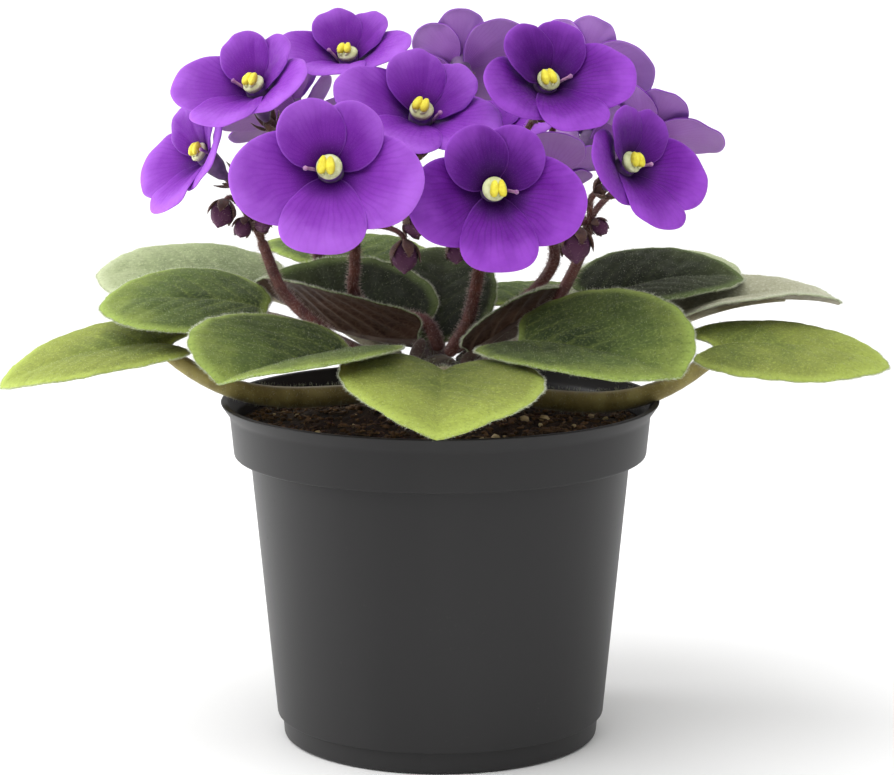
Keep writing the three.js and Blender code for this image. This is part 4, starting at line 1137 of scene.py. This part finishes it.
def make_soil():
    piece = Piece("fine_soil", 501)
    add_soil_body(piece)
    random = piece.random
    for _ in range(CRUMBS):
        spot = soil_spot(random, 0.03, 0.93)
        size = random.uniform(0.25, 0.95)
        stretch = (random.uniform(0.7, 1.6), random.uniform(0.6, 1.0), random.uniform(0.4, 0.8))
        add_crumb(piece, spot + UP * size * 0.3, size, 1, stretch)
    for _ in range(BARK_FIBRES):
        spot = soil_spot(random, 0.1, 0.85)
        add_crumb(piece, spot + UP * 0.45, 0.4, 2, (random.uniform(4, 8), random.uniform(0.5, 0.9), 0.5))
    for x, y, size in PERLITE:
        spot = vec(x, y, soil_height(x, y) + size * 0.35)
        add_crumb(piece, spot, size, 3, (random.uniform(0.9, 1.2), random.uniform(0.8, 1.1), 0.75))
    for _ in range(SMALL_PERLITE):
        spot = soil_spot(random, 0.1, 0.9)
        size = random.uniform(0.3, 0.8)
        add_crumb(piece, spot + UP * size * 0.35, size, 3, (1, 1, 0.8))
    piece.place([SOIL_FINISH, SPECKLED["soil_crumb"], SPECKLED["bark_fibre"], SPECKLED["perlite"]], "soil")


CROWN_PROFILE = [(0, 72), (2.9, 72), (4.9, 84), (5.2, 93.5), (3.1, 95.8), (0, 96.8)]
CROWN_HAIRS = (60, 1.1, 0.085)


def make_crown():
    piece = Piece("fine_crown", 502)
    profile = rounded(CROWN_PROFILE, 1.4)

    def scars(radius, height, turn):
        swell = 1 + 0.05 * np.sin(5 * turn + height * 0.7) + 0.03 * np.sin(9 * turn - height * 1.3)
        return radius * swell, height + 0 * turn

    lathe_mesh(piece, profile, 48, ripples=scars)
    line = np.linspace(0, 1, 13)[:, None] * vec(0, 0, 12) + vec(0, 0, 84)
    add_rod_hairs(piece, line, np.interp(line[:, 2], [84, 93.5, 96], [4.9, 5.2, 3.0]), CROWN_HAIRS, 1)
    piece.place([SPECKLED["crown_stem"], LEAF_HAIR], "crown")


# ---- The finishes of each kind of piece ----

# Each look: the top's deep, mid and light greens and its rim, painted bright with light shining through the
# edge; then the underside and the petiole.
LEAF_LOOKS = {
    "inner": (
        ("leaf_green", (0.022, 0.04, 0.011), (0.08, 0.12, 0.028), (0.21, 0.27, 0.055), (0.32, 0.43, 0.09)),
        ("leaf_maroon", (0.04, 0.016, 0.009), (0.09, 0.045, 0.024), (0.19, 0.12, 0.075)),
        ("petiole_brown", (0.05, 0.025, 0.015), (0.1, 0.06, 0.035), (0.22, 0.16, 0.1)),
    ),
    # Painted shade: a darkened copy of the inner look, for leaves that lie in shade.
    "dark": (
        ("leaf_dark_green", (0.007, 0.01, 0.004), (0.015, 0.02, 0.008), (0.045, 0.06, 0.018),
         (0.14, 0.2, 0.06)),
        ("leaf_dark_maroon", (0.04, 0.015, 0.009), (0.075, 0.034, 0.02), (0.17, 0.11, 0.07)),
        ("petiole_shaded_maroon", (0.035, 0.013, 0.009), (0.06, 0.03, 0.02), (0.15, 0.1, 0.07)),
    ),
    "outer": (
        ("leaf_lime", (0.12, 0.16, 0.035), (0.23, 0.27, 0.055), (0.33, 0.4, 0.07), (0.43, 0.53, 0.11)),
        ("leaf_tan_green", (0.12, 0.11, 0.045), (0.22, 0.2, 0.09), (0.36, 0.34, 0.2)),
        ("petiole_cream", (0.08, 0.056, 0.008), (0.17, 0.13, 0.02), (0.34, 0.29, 0.08)),
    ),
    "pale": (
        ("leaf_sage", (0.15, 0.19, 0.09), (0.25, 0.3, 0.15), (0.38, 0.43, 0.24), (0.5, 0.55, 0.34)),
        ("leaf_dusty", (0.14, 0.13, 0.07), (0.25, 0.23, 0.13), (0.4, 0.38, 0.27)),
        ("petiole_sage", (0.14, 0.11, 0.06), (0.26, 0.22, 0.13), (0.42, 0.38, 0.27)),
    ),
    # Painted sheen: a whitened grey copy of the leaf look, for a leaf whose hairs catch the light.
    "ash": (
        ("leaf_ash", (0.28, 0.28, 0.18), (0.38, 0.38, 0.26), (0.5, 0.5, 0.38), (0.55, 0.58, 0.42)),
        ("leaf_ash_under", (0.2, 0.18, 0.12), (0.3, 0.27, 0.19), (0.45, 0.42, 0.32)),
        ("petiole_ash", (0.14, 0.11, 0.06), (0.26, 0.22, 0.13), (0.42, 0.38, 0.27)),
    ),
}
LEAF_FINISHES = {shade: (leaf_top(*top), leaf_under(*under), petiole_finish(*petiole))
                 for shade, (top, under, petiole) in LEAF_LOOKS.items()}
LEAF_HAIR = hair_finish("leaf_hair", (0.42, 0.5, 0.22), (0.9, 0.93, 0.76))
STALK_HAIR = hair_finish("stalk_hair", (0.2, 0.075, 0.055), (0.78, 0.64, 0.56))
PETAL_LOOKS = {
    "petal_deep": ((0.02, 0.0, 0.05), (0.038, 0.0, 0.1), (0.14, 0.008, 0.29), (0.33, 0.07, 0.6), 0.04),
    "petal_violet": ((0.035, 0.0, 0.1), (0.11, 0.005, 0.24), (0.22, 0.03, 0.42), (0.4, 0.12, 0.68), 0.05),
    "petal_back": ((0.2, 0.06, 0.32), (0.36, 0.14, 0.52), (0.48, 0.24, 0.66), (0.56, 0.32, 0.74), 0.2),
    "bud_petal": ((0.035, 0.012, 0.022), (0.06, 0.018, 0.045), (0.1, 0.034, 0.075), (0.15, 0.065, 0.12),
                  0.05),
}
PETALS = {name: petal_finish(name, *looks) for name, looks in PETAL_LOOKS.items()}
TUBE_FINISH = tube_finish()
POT_FINISH = pot_finish()
SOIL_FINISH = soil_finish()
SPECKLED_LOOKS = {
    "style": ((0.3, 0.1, 0.3), (0.5, 0.25, 0.45), (0.75, 0.5, 0.65), 2, 0.5, 0.2, 0.05),
    "stamen_foot": ((0.6, 0.64, 0.28), (0.8, 0.84, 0.48), (0.94, 0.96, 0.74), 1.6, 0.55, 0.05, 0.06),
    "anther": ((0.78, 0.66, 0.03), (0.9, 0.82, 0.06), (0.97, 0.93, 0.25), 1.2, 0.7, 0.1, 0.08),
    "stalk": ((0.07, 0.018, 0.012), (0.13, 0.04, 0.027), (0.2, 0.085, 0.055), 3, 0.6, 0.05, 0.1),
    "sepal": ((0.06, 0.024, 0.016), (0.115, 0.055, 0.034), (0.22, 0.13, 0.085), 2, 0.65, 0.08, 0.1),
    "soil_crumb": ((0.035, 0.017, 0.006), (0.17, 0.095, 0.038), (0.48, 0.31, 0.13), 4, 0.95, 0.05, 0.3),
    "bark_fibre": ((0.05, 0.028, 0.012), (0.18, 0.11, 0.05), (0.36, 0.25, 0.13), 3, 0.9, 0.05, 0.2),
    "perlite": ((0.5, 0.38, 0.17), (0.8, 0.66, 0.36), (0.95, 0.87, 0.6), 2, 0.9, 0.05, 0.3),
    "crown_stem": ((0.04, 0.03, 0.012), (0.1, 0.08, 0.03), (0.2, 0.18, 0.09), 4, 0.75, 0.3, 0.3),
}
SPECKLED = {name: speckled(name, *looks) for name, looks in SPECKLED_LOOKS.items()}


# ---- Studio ----

def side_light(place, target, size, power):
    """A round lamp that points from its place to a target."""
    data = bpy.data.lights.new("side", "AREA")
    data.shape, data.size, data.energy = "DISK", size, power
    light = put("side", data)
    light.location = place
    across, ahead, up = np.array(target, dtype=float) - np.array(place, dtype=float)
    lift = math.atan2(up, math.hypot(across, ahead))
    light.rotation_euler = (math.pi / 2 + lift, 0, math.atan2(ahead, across) - math.pi / 2)


SKY_LOW, SKY_HIGH, SKY_LEFT, SKY_RIGHT = 0.3, 1.4, 1.15, 0.8
SUN_POWER, SUN_SPREAD, SUN_LEAN, SUN_TURN = 1.2, 60, 28, -42
LAMP_PLACE, LAMP_TARGET, LAMP_SIZE, LAMP_POWER = (-0.75, 0.15, 0.25), (0, 0, 0.07), 0.35, 3.4
FLOOR_RADIUS, FLOOR_DROP = 6, 0.0003
CAMERA_PLACE, CAMERA_DIP, CAMERA_LENS = (0.0017, -0.75, 0.22), 0.174, 122.6


def make_sky():
    """A white studio, brightest overhead and a little brighter on the left."""
    world = bpy.data.worlds.new("studio")
    world.use_nodes = True
    nodes, links = world.node_tree.nodes, world.node_tree.links
    parts = nodes.new("ShaderNodeSeparateXYZ")
    links.new(nodes.new("ShaderNodeTexCoord").outputs["Generated"], parts.inputs[0])
    both = nodes.new("ShaderNodeMath")
    both.operation = "MULTIPLY"
    spans = (("Z", (0.0, 1.0, SKY_LOW, SKY_HIGH)), ("X", (-1.0, 1.0, SKY_LEFT, SKY_RIGHT)))
    for place, (axis, numbers) in enumerate(spans):
        ramp = nodes.new("ShaderNodeMapRange")
        for socket, number in zip(ramp.inputs[1:5], numbers):
            socket.default_value = number
        links.new(parts.outputs[axis], ramp.inputs[0])
        links.new(ramp.outputs[0], both.inputs[place])
    links.new(both.outputs[0], nodes["Background"].inputs["Strength"])
    nodes["Background"].inputs["Color"].default_value = (1, 1, 1, 1)
    bpy.context.scene.world = world


def make_studio():
    make_sky()
    bpy.context.scene.view_settings.view_transform = "Standard"
    sun = bpy.data.lights.new("key", "SUN")
    sun.energy, sun.angle = SUN_POWER, math.radians(SUN_SPREAD)
    put("key", sun).rotation_euler = (math.radians(SUN_LEAN), 0, math.radians(SUN_TURN))
    side_light(LAMP_PLACE, LAMP_TARGET, LAMP_SIZE, LAMP_POWER)
    mesh = bpy.data.meshes.new("floor")
    rim = around(FLOOR_RADIUS, turns(64), -FLOOR_DROP)
    mesh.from_pydata(rim.tolist(), [], [list(range(64))])
    floor = put("floor", mesh)
    f = Finish("pale_floor")
    colour = f.mix(f.patches(300, 2, 0.3, 0.7), (0.94, 0.94, 0.94), (0.96, 0.96, 0.96))
    mesh.materials.append(f.wear_patchy(colour, 40, 0.7, 0.8))


def make_camera():
    data = bpy.data.cameras.new("camera")
    data.sensor_width, data.lens, data.clip_end = 36, CAMERA_LENS, 30
    camera = put("camera", data)
    camera.location = CAMERA_PLACE
    camera.rotation_euler = (math.pi / 2 - CAMERA_DIP, 0, 0)
    bpy.context.scene.camera = camera


make_camera()
make_studio()
make_pot()
make_soil()
make_crown()
for index, leaf in enumerate(LEAVES):
    make_leaf(leaf, index)
for index, flower in enumerate(FLOWERS):
    make_corolla(flower, index)
    make_stamens(flower, index)
for number in range(len(SPRAYS)):
    make_spray(number)

bpy.context.view_layer.update()
